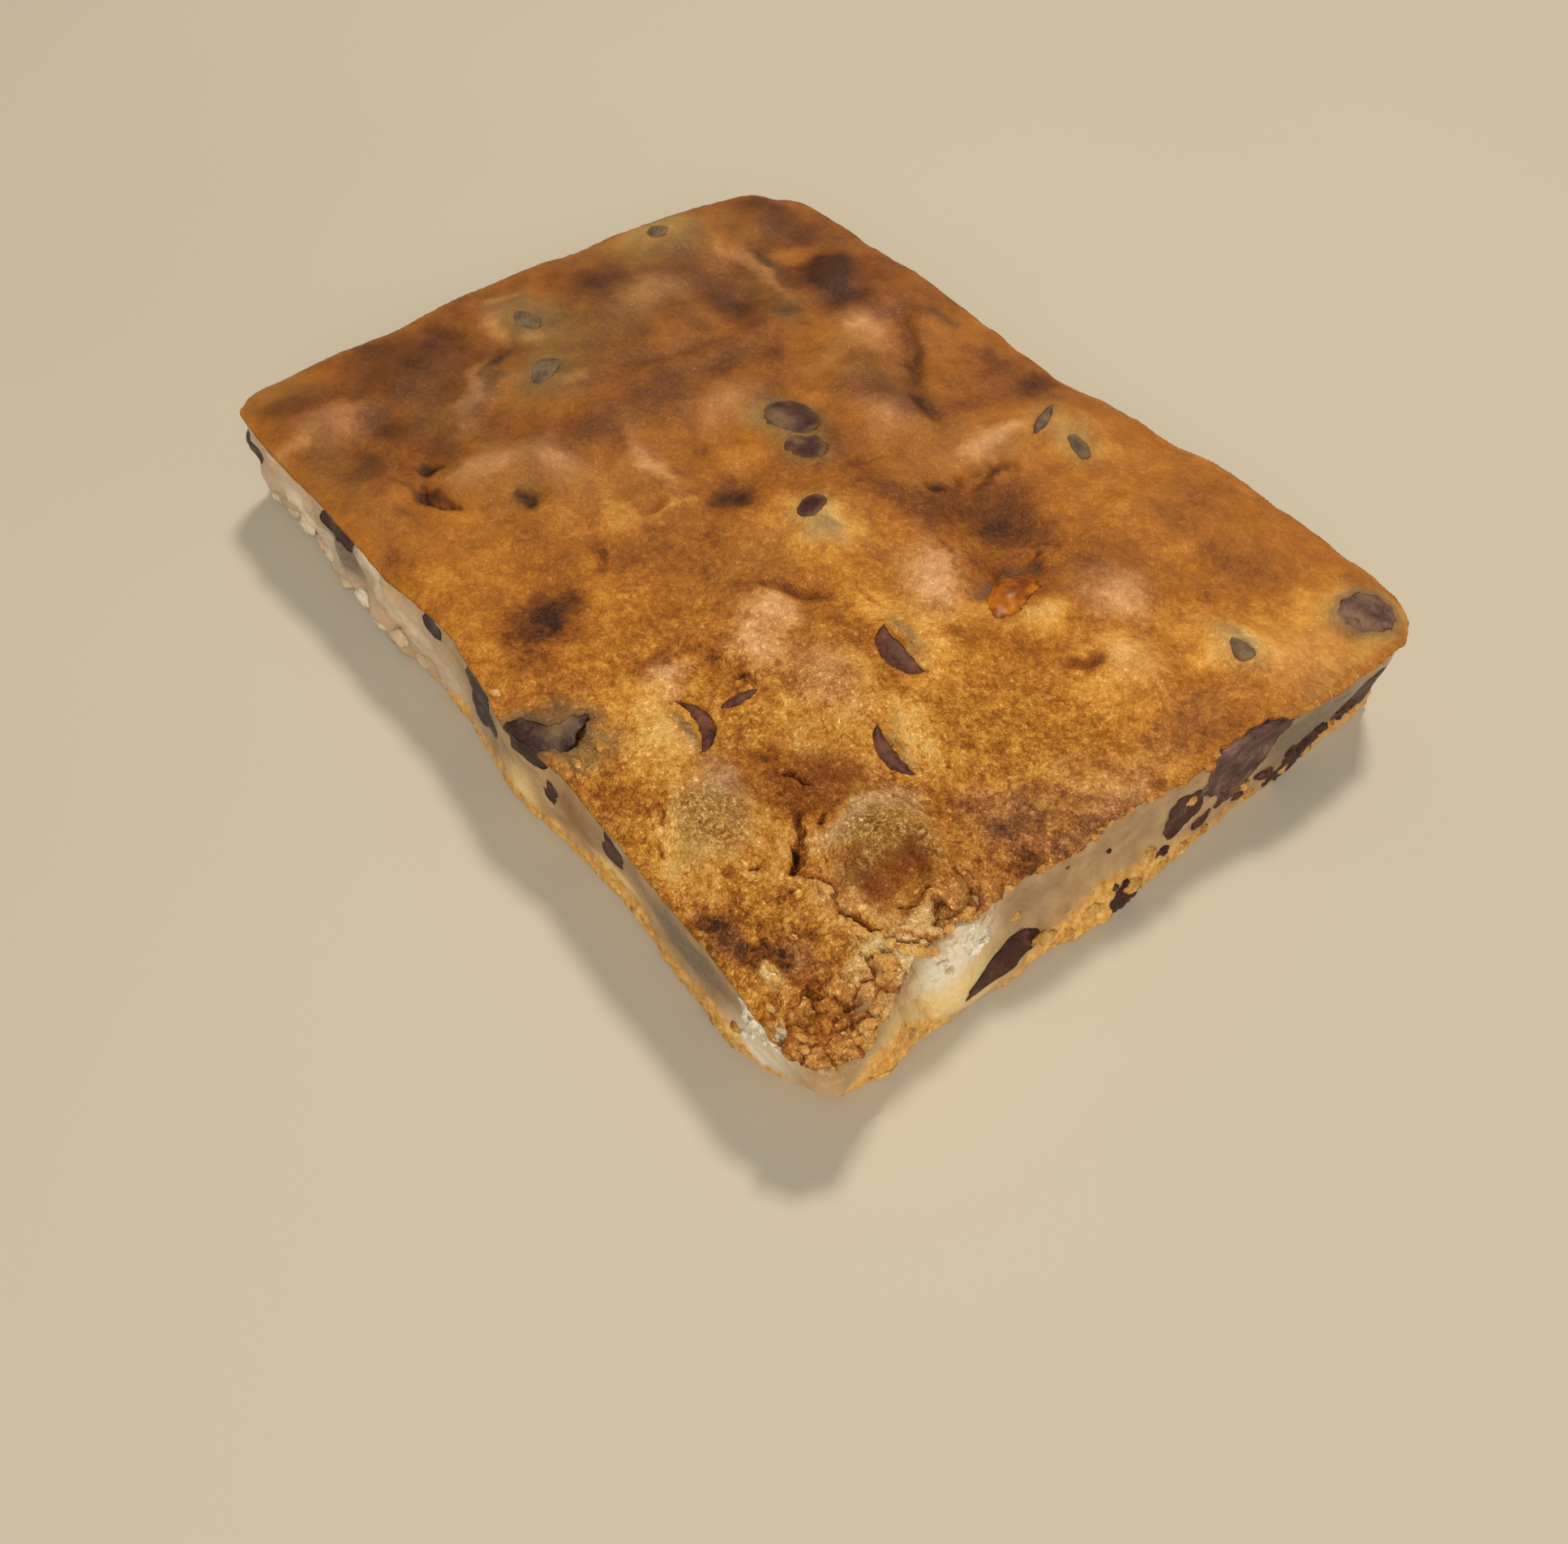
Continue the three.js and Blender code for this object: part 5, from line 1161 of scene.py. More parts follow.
        (-57.2, -3.6, 1.5, 3, -10, 0.22), (-52.2, -9.2, 3.6, 1.4, -8, 0.24), (-46.8, -6.6, 1.2, 2, -30, 0.2),
        (-36.2, -6.6, 1.5, 3, 0.22), (-40.6, -14.4, 4.4, 2.4, 0.12), (-42, -19.2, 6.6, 1.9, -47, 0.18),
        (-47.8, -35, 3.4, 4, 0.2), (-47, -41, 1.8, 2.8, 0.2), (-24, -18.4, 4.2, 2.4, 0.16),
        (-28, -26, 2.1, 5, 0.16), (-17.5, -8.6, 5, 1.3, -3, 0.16), (-14.5, -8.2, 2, 1, 0.1),
        (-8, -12.6, 0.8, 4, 5, 0.24), (-11.6, -17.4, 3.4, 2.4, 0.2), (-15.5, -23, 3.4, 2.2, 0.12),
        (-18.5, -31.5, 7.5, 4, 0.12), (-15, -39.5, 3.2, 1.6, 0.14),
    ),
    # pink patches on the puffs: partly their own tone, partly painted sheen where the satin skin would catch the light
    "blush": (
        (12.3, -12.8, 3.2, 2.8, 10, 0.75), (15.4, -17.4, 3.6, 2.8, 0.7), (13, -27.4, 1.8, 2.8, 0.8),
        (24, -15, 6, 3.4, 0.5), (20, 4.4, 6.4, 3.6, -42, 0.9), (35, 18.8, 4.6, 3.8, 0.8), (8, 26.4, 2.1, 5, 0.9),
        (-5, 20.8, 5.4, 4, 0.8), (-20, 29.6, 4.6, 3.6, -10, 0.8), (-46.5, 12.5, 4, 4.4, 0.8),
        (-20.4, 6.4, 4, 5, 0.7), (-42, -19.2, 7, 2.2, -47, 0.9), (-47.8, -35, 3.8, 4.4, 0.9), (-47, -41, 2, 3, 0.6),
        (-24, -18.4, 4.6, 2.8, 0.9), (-28, -26, 2.4, 5.4, 0.9), (-17.5, -8.6, 5.4, 1.8, -3, 0.7),
        (-56, -5, 3, 4, 0.6), (-52, -8.8, 4, 2, 0.6), (-35.6, -7, 2, 3.4, 0.6), (40, -19.6, 3.4, 1.8, 0.7),
        (28.5, -31.5, 4, 1.8, 0.7), (40, -27.5, 1.5, 2.6, 0.4), (51, -10, 5, 7, 0.35), (55, -6, 1.5, 8, 0.6),
        (53, 0, 3, 5, 0.3), (43, 12, 4, 3, 0.35), (42, -42.2, 3.4, 1.6, 0.5), (54, 27, 4, 6, 0.3),
        (-41.5, 27, 8.5, 1.4, -4, 0.6), (53, 11, 3, 6, 0.3), (46, -29, 4, 1.4, 0.3), (33.5, -22.5, 4, 2.4, 0.2),
        (39.6, -24, 1.0, 4.2, 0.9), (31, -33.0, 3.4, 1.4, 0.6), (48, -38, 2.6, 2, 0.5), (48.5, -13, 4, 3, 0.4),
    ),
    "olive": (
        (-56, 21, 4, 5, 0.6), (-51, -4, 6, 4.6, 0.6), (-11, 8, 6, 3.4, 10, 0.3), (-12, -14, 8, 6, 0.3),
        (-38, -40, 14, 4, 0.3), (-15, 25, 8, 4, 0.3), (5, 20, 5, 10, 0.2), (25.6, -4.3, 3, 0.8, -6, 0.8),
        (19.4, -30.8, 3.4, 1.0, -8, 0.8), (35.8, -14, 2.6, 0.6, -6, 0.4), (7.0, -0.4, 3.0, 2.1, -10, 0.6),
        (16, -39.5, 2.6, 2.8, 0.8), (8.6, -40, 1.8, 2.6, 0.5), (42.6, -23.6, 4, 3.6, 0.4),
        (31, -35.2, 4, 3.2, 0.25), (-13, 8.6, 5, 2.8, 10, 0.7), (-6.4, 7.6, 2.2, 2, 0.5),
        (-38.6, -10, 3, 3.4, -50, 0.5), (-54.4, 21.4, 2.4, 2.6, 0.5), (-41, 29, 3.6, 1.3, -8, 0.6),
        (-31, 24.2, 2.6, 1.6, 0.6), (-17, 20.6, 2.6, 3.6, 0.4), (-16, 39.4, 3, 1.8, 0.5), (-56, 19, 5, 9, 0.6),
        (-44, 6, 7, 8, 0.3), (-42, -6, 8, 6, -30, 0.45), (-54, -4, 5, 4, 0.5), (-58, -38, 4, 5, 0.4),
        (-50, -5, 3.6, 2.4, 0.7), (48.6, 22.8, 3.4, 1.8, 0.6), (11, 35.4, 4.4, 3, 0.5), (54.8, 37.6, 3.6, 4, 0.6),
        (-52, 26, 6, 9, 0.3), (-38, 25, 7, 2.4, 0.35), (-37, -13, 5, 4, 0.3), (-42, -24, 5, 4, 0.3),
        (-24, -23, 8, 6, 0.3), (-8, 7, 6, 2, 0.3), (8, 2, 6, 3, 0.3), (58.5, 25, 1.6, 14, 0.4), (10, 29, 3, 3, 0.3),
        (-42, 0, 24, 40, 0.14), (5, -8, 5, 8, 0.2), (51.3, -33.4, 1.2, 1.2, 0.7), (52.6, -25.4, 1.1, 1.3, 0.6),
        (-44, -15, 5, 1.2, -50, 0.4),
    ),
    "ember": (
        (-33, 34.5, 4, 4, 0.1), (-38, 20, 5, 2, 0.15), (-28, 0, 2.4, 10, 0.12), (-53, 8, 3, 5, 0.1),
        (16, -10, 9, 3, 0.22), (33, -29, 9, 8, 0.14), (28.6, 10.4, 4.2, 5.2, 14, 0.5), (32, 22, 6, 3, 0.15),
        (47.9, -23.3, 2.3, 2.0, 15, 0.95), (47.2, -26.5, 2.8, 2.3, -30, 0.55), (34, -24, 4.4, 3.4, 0.35),
        (53.1, -21.1, 1.5, 1.0, -15, 0.9), (17.4, -38.6, 1.7, 1.2, 0.35), (45.8, -28.4, 3.6, 1.3, 15, 0.4),
        (51.4, -39.4, 1.0, 0.6, 30, 0.6), (33, -39.8, 1.4, 1.2, 0.3), (-17.3, 23.7, 1.0, 1.2, 0.7),
        (-10, -13.2, 1.2, 1.9, 0.6), (39.8, 8.3, 0.8, 1.8, 0.4), (22.4, 11, 1.6, 2.8, 0.2),
        (54, -33, 1.3, 1.0, 0.15), (49, -19.5, 2, 0.8, 0.3), (29, -30.3, 5, 2, 0.35), (31, -22.5, 6, 3, 0.2),
    ),
    "veil": (
        (55, 38.4, 3.6, 4.0, 0.7), (55.6, 34.2, 2, 1.4, 0.4), (48.1, 23.2, 2.2, 0.9, -10, 0.6),
        (50.3, 21.9, 0.8, 0.7, 0.9), (7.0, -0.5, 2.6, 1.5, -10, 0.6), (7.7, 0.9, 0.9, 0.5, 20, 0.5),
        (-11.7, 8.0, 2.2, 1.0, 0.5), (9.2, -40.4, 1.9, 2.4, 0.6), (15.4, -38.6, 1.6, 1.4, 0.4),
        (17.2, -40.4, 1.2, 1, 0.3), (-13, 7.7, 2.3, 1.3, 0.4), (-15.8, 9.6, 2.4, 0.9, 0.7),
        (25.3, 12.4, 0.7, 2.0, 0.8), (24.2, 8.4, 0.8, 2.2, -38, 0.75), (25.2, 16.6, 1.7, 0.5, -58, 0.9),
        (31, 20.5, 0.7, 0.3, 0.8), (25.6, -4.5, 3.0, 0.8, -8, 0.55), (19.4, -30.4, 3.2, 1.0, -8, 0.6),
        (35.6, -14.3, 2.6, 0.5, -6, 0.5), (57, -4, 0.6, 9, 0.2), (-50, -5, 3, 2, 0.4),
        (-39.4, -9.6, 1.8, 2.8, 40, 0.35), (8.8, 35.4, 1.2, 3.8, 28, 0.4), (42.6, -42.4, 2.6, 0.9, 0.25),
        (50.6, 14.2, 0.5, 0.4, 0.5),
    ),
}


def paintCrust():
    points = pointsOf(brownedCrust)
    flat = points[:, :2]
    warped = flat + 1.1 * stray(flat, 3.2, 101) + 0.5 * stray(flat, 1.0, 103)
    brown = browning["start"] + spots(warped, browning["darkerAndShaded"]) - spots(warped, browning["lighterAndLit"])
    dome = domeMask(flat)
    brown += 0.1 * layered(flat, 6, 105) + 0.05 * noise(flat, 2.2, 106) - 0.45 * dome * (1 - dome)
    torn, rough = tornness(flat), coarseness(flat)
    height = crustHeight(flat)
    lip = softStep(0.3, 0.7, height - points[:, 2])
    depth = creaseDepth(flat)
    foldShade = sum(deep * np.exp(-(lineDistance(flat, line) / width) ** 2) for width, deep, line in crust["folds"])
    _, gap, tone = brokenPlates(flat)
    broken = softStep(0.3, 0.75, torn)
    ember = spots(warped, browning["ember"])
    film, halo, rimmed = np.zeros((3, len(flat)))
    reach = browning["reach"]
    loops = [(rimLoop(node), ((halo, reach["oval"]),)) for node in chips["ovals"]]
    loops += [(raggedLoop(chips[name]), ((film, reach["film"]), (halo, reach["opening"])))
              for name in ("edgeOpening", "cornerOpening")]
    loops += [(rimLoop(node), ((rimmed, reach["rim"]),)) for node in chips["crescents"]]
    for loop, reaches in loops:
        near = np.hypot(*(flat - loop.mean(axis=0)).T) < np.ptp(loop, axis=0).max() / 2 + 3.5
        away = lineDistance(flat[near], loop)
        for share, fade in reaches:
            share[near] = np.maximum(share[near], np.exp(-(away / fade) ** 2))
    # painted shade: darker down the creases, along the folds and in the gaps between broken plates; the last term is
    # the plates' own tone
    brown += 0.45 * depth + 0.16 * foldShade + broken * (0.35 * gap + 0.12 * (tone - 0.6))
    pale = np.maximum(broken * (1 - tone) * (1 - gap), 0.6 * rimmed)
    torn = torn * (1 - 0.65 * broken * tone)
    paint(brownedCrust, browning=brown, blush=spots(warped, browning["blush"]), rough=0.6 * rough,
          olive=spots(warped, browning["olive"]) * (1 - 0.4 * torn) + 0.5 * halo, torn=torn * (1 - lip), ember=ember,
          pale=pale, granular=dome * (1 - 0.9 * ember) * (0.2 + 0.8 * patchiness(flat)),
          veil=np.maximum(spots(warped, browning["veil"]), 0.7 * film), lip=lip,
          strewn=0.1 * broken * gap + 0.25 * pale)


def spotsDeep(points, rows):  # the same for faces: x, y, z, half sizes, amount
    total = np.zeros(len(points))
    for x, y, z, halfX, halfY, halfZ, amount in rows:
        away = (((points - np.array([x, y, z])) / np.array([halfX, halfY, halfZ])) ** 2).sum(axis=1)
        total += amount * np.exp(-away ** 1.3)
    return total


faceColours = {
    "yellow": (
        (7.5, -44, 4.7, 3, 4, 2.4, 1), (25, -43, 5.5, 5, 4, 1.6, 1), (57, -25, 6, 4, 5.5, 5.5, 1),
        (57, -34, 6, 4, 5, 5, 0.6),
    ),
    "stain": (
        (44, -43, 10, 3.4, 4, 2.6, 0.7), (18, -43, 8.4, 3.4, 4, 3.6, 1.3), (-34, -43, 9, 4.4, 4, 4.4, 0.6),
        (57, 16, 12.5, 4, 6.5, 2.4, 0.9), (-50, -43, 11, 5, 4, 3, 0.4), (57, 38, 10, 4, 5, 4, 0.3),
    ),
    "white": (
        (-25, -43, 12, 4, 4, 2.6, 0.8), (-20, -43, 8, 6, 4, 3, 0.5), (-40, -43, 6, 6, 4, 4, 0.4),
        (-46, -43, 9, 4, 4, 3, 0.7), (-10, -43, 5, 5, 4, 3, 0.4), (48.4, -43, 6, 3, 4, 3.6, 0.9),
        (57, -24.5, 11.5, 4, 4.6, 2.6, 1.2), (57, -28, 10, 4, 2.6, 2.4, 0.9), (57, 41, 8, 4, 4, 3, 0.6),
        (51.5, -43, 8, 3.6, 4, 5, 0.8),
    ),
    "grey": (
        (58, 27, 9, 4, 8, 6, 1.6), (-1, -43, 9, 5, 4, 5, 0.8), (25, -43, 11, 4, 4, 3, 0.5),
        (37, -43, 9.6, 7, 4, 3.2, 1.1), (57, -15, 10, 4, 4, 4, 0.5), (57, 0, 11, 4, 9, 4, 0.3),
        (-33, -43, 9, 5, 4, 4.6, 1.1), (42, -43, 9, 4, 4, 4, 0.3),
    ),
    "blush": (
        (-40, -43, 8, 22, 6, 12, 0.9), (-12, -43, 6, 10, 6, 8, 0.4),
    ),
}


def paintCrumb():
    points = pointsOf(denseCrumb)
    warped = points + 0.7 * stray(points, 2.4, 111, 3)
    height = points[:, 2] - baseTop(points[:, :2])
    base = 1 - softStep(-0.7, 0.5, height + 0.5 * noise(points, 1.2, 115))
    paint(denseCrumb, base=base, **{name: spotsDeep(warped, rows) for name, rows in faceColours.items()})


paintCrust()
paintCrumb()
print("colours laid on the crust and crumb")


# Materials

def toLinear(text):
    values = [int(text[i:i + 2], 16) / 255 for i in (1, 3, 5)]
    return (*((v / 12.92 if v <= 0.04045 else ((v + 0.055) / 1.055) ** 2.4) for v in values), 1.0)


def addNode(tree, kind, values=None):  # outputs are linked; "stops" are a ramp's places and colours, its ends first
    node = tree.nodes.new("ShaderNode" + kind if tree.type == "SHADER" else kind)
    for key, value in (values or {}).items():
        if isinstance(value, bpy.types.NodeSocket):
            tree.links.new(value, node.inputs[key])
        elif key == "stops":
            for spot, (place, colour) in enumerate(value):
                stop = node.color_ramp.elements[spot] if spot < 2 else node.color_ramp.elements.new(place)
                stop.position, stop.color = place, toLinear(colour)
        elif isinstance(key, int) or key in node.inputs:
            node.inputs[key].default_value = toLinear(value) if str(value).startswith("#") else value
        else:
            setattr(node, key, value)
    return node


def newMaterial(name):
    material = bpy.data.materials.new(name)
    material.use_nodes = True
    material.node_tree.nodes.clear()
    return material, material.node_tree


def coat(material, height, strength, distance, look):  # the surface itself, with its fine relief
    tree = material.node_tree
    relief = addNode(tree, "Bump", {"Strength": strength, "Distance": distance, "Height": height})
    skin = addNode(tree, "BsdfPrincipled", {"Normal": relief.outputs[0], **look})
    addNode(tree, "OutputMaterial", {"Surface": skin.outputs[0]})
    return material


def makeCrustMaterial():
    # Sugary top baked dry: matt with a faint oily shine, freckled by browned sugar grains; its colours also carry
    # painted shade, painted sheen and painted glints
    material, tree = newMaterial("bakedSugarCrust")
    place = addNode(tree, "TexCoord").outputs["Object"]
    value = {name: addNode(tree, "Attribute", {"attribute_name": name}).outputs["Fac"]
             for name in ("browning", "rough", "blush", "olive", "torn", "pale", "granular", "ember", "veil", "lip")}
    patches, freckles, grains, flakes, specks = (
        addNode(tree, "TexNoise", {"Scale": 1 / (size * mm), "Detail": detail, "Roughness": coarse,
                                   "Distortion": bent, "Vector": place}).outputs
        for size, detail, coarse, bent in ((2.0, 3.0, 0.6, 0.0), (0.8, 3.0, 0.7, 0.0), (0.3, 2.0, 0.7, 0.0),
                                           (0.5, 3.0, 0.75, 0.3), (0.45, 2.0, 0.6, 0.8)))
    strayed = addNode(tree, "VectorMath", {"operation": "MULTIPLY_ADD", 0: freckles["Color"],
                                           1: (0.6 * mm, 0.6 * mm, 0.6 * mm), 2: place})
    scales = addNode(tree, "TexVoronoi", {"Scale": 1 / (0.62 * mm), "Vector": strayed.outputs[0]})
    scales = addNode(tree, "SeparateColor", {0: scales.outputs["Color"]}).outputs[0]
    mottled = patches[0]
    for source, strength in ((freckles[0], 0.7), (grains[0], 0.9), (scales, 0.3)):
        mottled = addNode(tree, "Math", {"operation": "MULTIPLY_ADD", 0: source, 1: strength, 2: mottled}).outputs[0]
    mottled = addNode(tree, "Math", {"operation": "SUBTRACT", 0: mottled, 1: 1.45})
    mottled = addNode(tree, "Math", {"operation": "MULTIPLY_ADD", 0: mottled.outputs[0], 1: value["rough"],
                                     2: value["browning"]}).outputs[0]
    grainy = addNode(tree, "MapRange", {"Value": flakes[0], "From Min": 0.36, "From Max": 0.64}).outputs[0]
    golden = ((0.0, "#EEC06E"), (1.0, "#381A08"), (0.22, "#DA9C3C"), (0.5, "#A8681A"), (0.75, "#74400C"))
    colour = addNode(tree, "ValToRGB", {"stops": golden, 0: mottled}).outputs[0]
    for name, strength, source, *stops in (
            # this ramp lays the pink tone together with painted sheen
            ("blush", 0.75, mottled, (0.0, "#F0C69E"), (1.0, "#683C26"), (0.45, "#B4845C"), (0.7, "#8C6042")),
            ("olive", 0.7, mottled, (0.0, "#C4AE78"), (1.0, "#443220"), (0.5, "#8E7440")),
            ("torn", 0.6, mottled, (0.0, "#F4C084"), (1.0, "#783612"), (0.3, "#DE9450"), (0.6, "#B8682A")),
            ("pale", 0.9, mottled, (0.0, "#FAE0A8"), (1.0, "#8A5420"), (0.4, "#E6BC70")),
            ("granular", 0.75, grainy, (0.0, "#543010"), (1.0, "#F8D890"), (0.5, "#B07C34")),
            ("ember", 0.85, freckles[0], (0.35, "#642C0C"), (0.65, "#A0581C")),
            ("veil", 0.85, freckles[0], (0.3, "#3E2E2C"), (0.7, "#80684C")),
            ("lip", 0.8, freckles[0], (0.3, "#B88444"), (0.7, "#E2B066"))):
        share = addNode(tree, "Math", {"operation": "MULTIPLY", "use_clamp": True, 0: value[name], 1: strength})
        tone = addNode(tree, "ValToRGB", {"stops": stops, 0: source})
        colour = addNode(tree, "Mix", {"data_type": "RGBA", 0: share.outputs[0], 6: colour,
                                       7: tone.outputs[0]}).outputs[2]
    # sugar crystals: paler in colour and partly painted glints, brightened in the base colour where they would catch
    # the light; their roughness drops too
    crystals = addNode(tree, "MapRange", {"Value": specks[0], "From Min": 0.56, "From Max": 0.7}).outputs[0]
    paleGrainsAndGlints = addNode(tree, "Math", {"operation": "MULTIPLY", 0: crystals, 1: value["rough"]})
    colour = addNode(tree, "HueSaturation", {"Saturation": 0.9, "Value": 1.9, "Fac": paleGrainsAndGlints.outputs[0],
                                             "Color": colour})
    shine = addNode(tree, "MapRange", {"Value": crystals, "To Min": 0.56, "To Max": 0.3})
    shine = addNode(tree, "Math", {"operation": "MULTIPLY_ADD", "use_clamp": True, 0: value["ember"], 1: -0.2,
                                   2: shine.outputs[0]})
    height = addNode(tree, "Math", {"operation": "MULTIPLY_ADD", 0: specks[0], 1: 0.8, 2: freckles[0]})
    height = addNode(tree, "Math", {"operation": "MULTIPLY_ADD", 0: scales, 1: -0.25, 2: height.outputs[0]})
    return coat(material, height.outputs[0], value["rough"], 1.2 * mm, {
        "Base Color": colour.outputs[0], "Roughness": shine.outputs[0], "IOR": 1.45, "Specular IOR Level": 0.25,
        "Subsurface Weight": 0.08, "Subsurface Radius": (1.0, 0.45, 0.2), "Subsurface Scale": 1 * mm})


def makeChunkMaterial():
    # Broken crust: dry open crumb, pale inside and orange where the skin still clings
    material, tree = newMaterial("brokenCrumb")
    place = addNode(tree, "TexCoord").outputs["Object"]
    tone = addNode(tree, "Attribute", {"attribute_name": "tone"})
    patches = addNode(tree, "TexNoise", {"Scale": 1 / (1.1 * mm), "Detail": 3.0, "Vector": place})
    grains = addNode(tree, "TexNoise", {"Scale": 1 / (0.3 * mm), "Detail": 3.0, "Roughness": 0.7, "Vector": place})
    mixed = addNode(tree, "Mix", {"data_type": "FLOAT", 0: 0.5, 2: patches.outputs[0], 3: grains.outputs[0]})
    mixed = addNode(tree, "MapRange", {"Value": mixed.outputs[0], "From Min": 0.32, "From Max": 0.68})
    pale, baked = (addNode(tree, "ValToRGB", {"stops": stops, 0: mixed.outputs[0]}).outputs[0] for stops in (
        ((0.0, "#B07C34"), (1.0, "#F6D898"), (0.5, "#DEAC5C")), ((0.0, "#7E4614"), (1.0, "#E6B066"), (0.5, "#BC7830"))))
    colour = addNode(tree, "Mix", {"data_type": "RGBA", 0: tone.outputs["Fac"], 6: pale, 7: baked})
    return coat(material, grains.outputs[0], 0.7, 0.5 * mm, {
        "Base Color": colour.outputs[2], "Roughness": 0.6, "IOR": 1.45, "Specular IOR Level": 0.25,
        "Subsurface Weight": 0.15, "Subsurface Radius": (1.0, 0.5, 0.25), "Subsurface Scale": 1 * mm})


def makeCrumbMaterial():
    # Underbaked almond crumb: dense, moist and slightly see-through, smeared by the knife; gold grains at the base
    material, tree = newMaterial("moistAlmondCrumb")
    place = addNode(tree, "TexCoord").outputs["Object"]
    clouds, flour, grains = (
        addNode(tree, "TexNoise", {"Scale": 1 / (size * mm), "Detail": detail, "Roughness": coarse,
                                   "Vector": place}).outputs[0]
        for size, detail, coarse in ((3.2, 4.0, 0.55), (0.55, 3.0, 0.6), (0.9, 3.0, 0.65)))
    paste, baked = (addNode(tree, "ValToRGB", {"stops": stops, 0: source}).outputs[0] for source, stops in (
        (clouds, ((0.25, "#9C7A4E"), (0.75, "#CFB084"), (0.5, "#B8966A"))),
        (grains, ((0.25, "#BC7C2E"), (0.75, "#FAD68A"), (0.5, "#E2AA54")))))
    colour = paste
    for name, dark, light in (("blush", "#CDB296", "#E4CFB6"), ("yellow", "#F0CC7C", "#FFE9AC"),
                              ("stain", "#7A4A30", "#A87448"), ("grey", "#564C42", "#80705E"),
                              ("white", "#E8DCC2", "#FBF4E2")):
        value = addNode(tree, "Attribute", {"attribute_name": name})
        share = addNode(tree, "Math", {"operation": "MULTIPLY", "use_clamp": True, 0: value.outputs["Fac"], 1: 0.85})
        tone = addNode(tree, "ValToRGB", {"stops": ((0.3, dark), (0.7, light)), 0: flour})
        colour = addNode(tree, "Mix", {"data_type": "RGBA", 0: share.outputs[0], 6: colour,
                                       7: tone.outputs[0]}).outputs[2]
    base = addNode(tree, "Attribute", {"attribute_name": "base"}).outputs["Fac"]
    colour = addNode(tree, "Mix", {"data_type": "RGBA", 0: base, 6: colour, 7: baked})
    shine = addNode(tree, "MapRange", {"Value": base, "To Min": 0.36, "To Max": 0.6})
    return coat(material, flour, 0.4, 0.25 * mm, {
        "Base Color": colour.outputs[2], "Roughness": shine.outputs[0], "IOR": 1.45, "Subsurface Weight": 0.4,
        "Subsurface Radius": (1.0, 0.7, 0.4), "Subsurface Scale": 2 * mm})


def makeChocolateMaterial(name, tones, dullness):
    # Chips that melted and set again: dull brown with a grey fat bloom, or olive where batter baked over them
    material, tree = newMaterial(name)
    place = addNode(tree, "TexCoord").outputs["Object"]
    bloom = addNode(tree, "TexNoise", {"Scale": 1 / (2.2 * mm), "Detail": 4.0, "Roughness": 0.6, "Vector": place})
    dust = addNode(tree, "TexNoise", {"Scale": 1 / (0.35 * mm), "Detail": 2.0, "Vector": place}).outputs[0]
    mixed = addNode(tree, "Math", {"operation": "MULTIPLY_ADD", 0: dust, 1: 0.3, 2: bloom.outputs[0]}).outputs[0]
    colour = addNode(tree, "ValToRGB", {"stops": ((0.45, tones[0]), (0.95, tones[2]), (0.68, tones[1])), 0: mixed})
    film = addNode(tree, "Attribute", {"attribute_name": "film"})
    smeared = addNode(tree, "Math", {"operation": "MULTIPLY", "use_clamp": True, 0: film.outputs["Fac"], 1: mixed})
    colour = addNode(tree, "Mix", {"data_type": "RGBA", 0: smeared.outputs[0], 6: colour.outputs[0], 7: "#866F4C"})
    shine = addNode(tree, "MapRange", {"Value": bloom.outputs[0], "To Min": dullness, "To Max": dullness + 0.3})
    return coat(material, dust, 0.3, 0.2 * mm, {
        "Base Color": colour.outputs[2], "Roughness": shine.outputs[0], "IOR": 1.46, "Specular IOR Level": 0.2})


def makeCaramelMaterial():
    # Boiled sugar that ran and set: amber, see-through at its edge, glossy
    material, tree = newMaterial("setCaramel")
    place = addNode(tree, "TexCoord").outputs["Object"]
    clouds = addNode(tree, "TexNoise", {"Scale": 1 / (1.8 * mm), "Detail": 3.0, "Vector": place}).outputs[0]
    colour = addNode(tree, "ValToRGB", {"stops": ((0.35, "#7A3800"), (0.65, "#BC7012")), 0: clouds})
    return coat(material, clouds, 0.2, 0.2 * mm, {
        "Base Color": colour.outputs[0], "Roughness": 0.38, "IOR": 1.45, "Specular IOR Level": 0.3,
        "Subsurface Weight": 0.2, "Subsurface Radius": (1.0, 0.4, 0.1), "Subsurface Scale": 2 * mm})


def makeFlakeMaterial():
    # White chocolate dried to chalky flakes: cream white, matt, light passes a little way in
    material, tree = newMaterial("driedWhiteChocolate")
    place = addNode(tree, "TexCoord").outputs["Object"]
    clouds = addNode(tree, "TexNoise", {"Scale": 1 / (1.2 * mm), "Detail": 4.0, "Vector": place}).outputs[0]
    colour = addNode(tree, "ValToRGB", {"stops": ((0.3, "#CDBB98"), (0.6, "#F4EBD8")), 0: clouds})
    return coat(material, clouds, 0.5, 0.3 * mm, {
        "Base Color": colour.outputs[0], "Roughness": 0.6, "IOR": 1.45, "Subsurface Weight": 0.2,
        "Subsurface Radius": (1.0, 0.8, 0.5), "Subsurface Scale": 1 * mm})


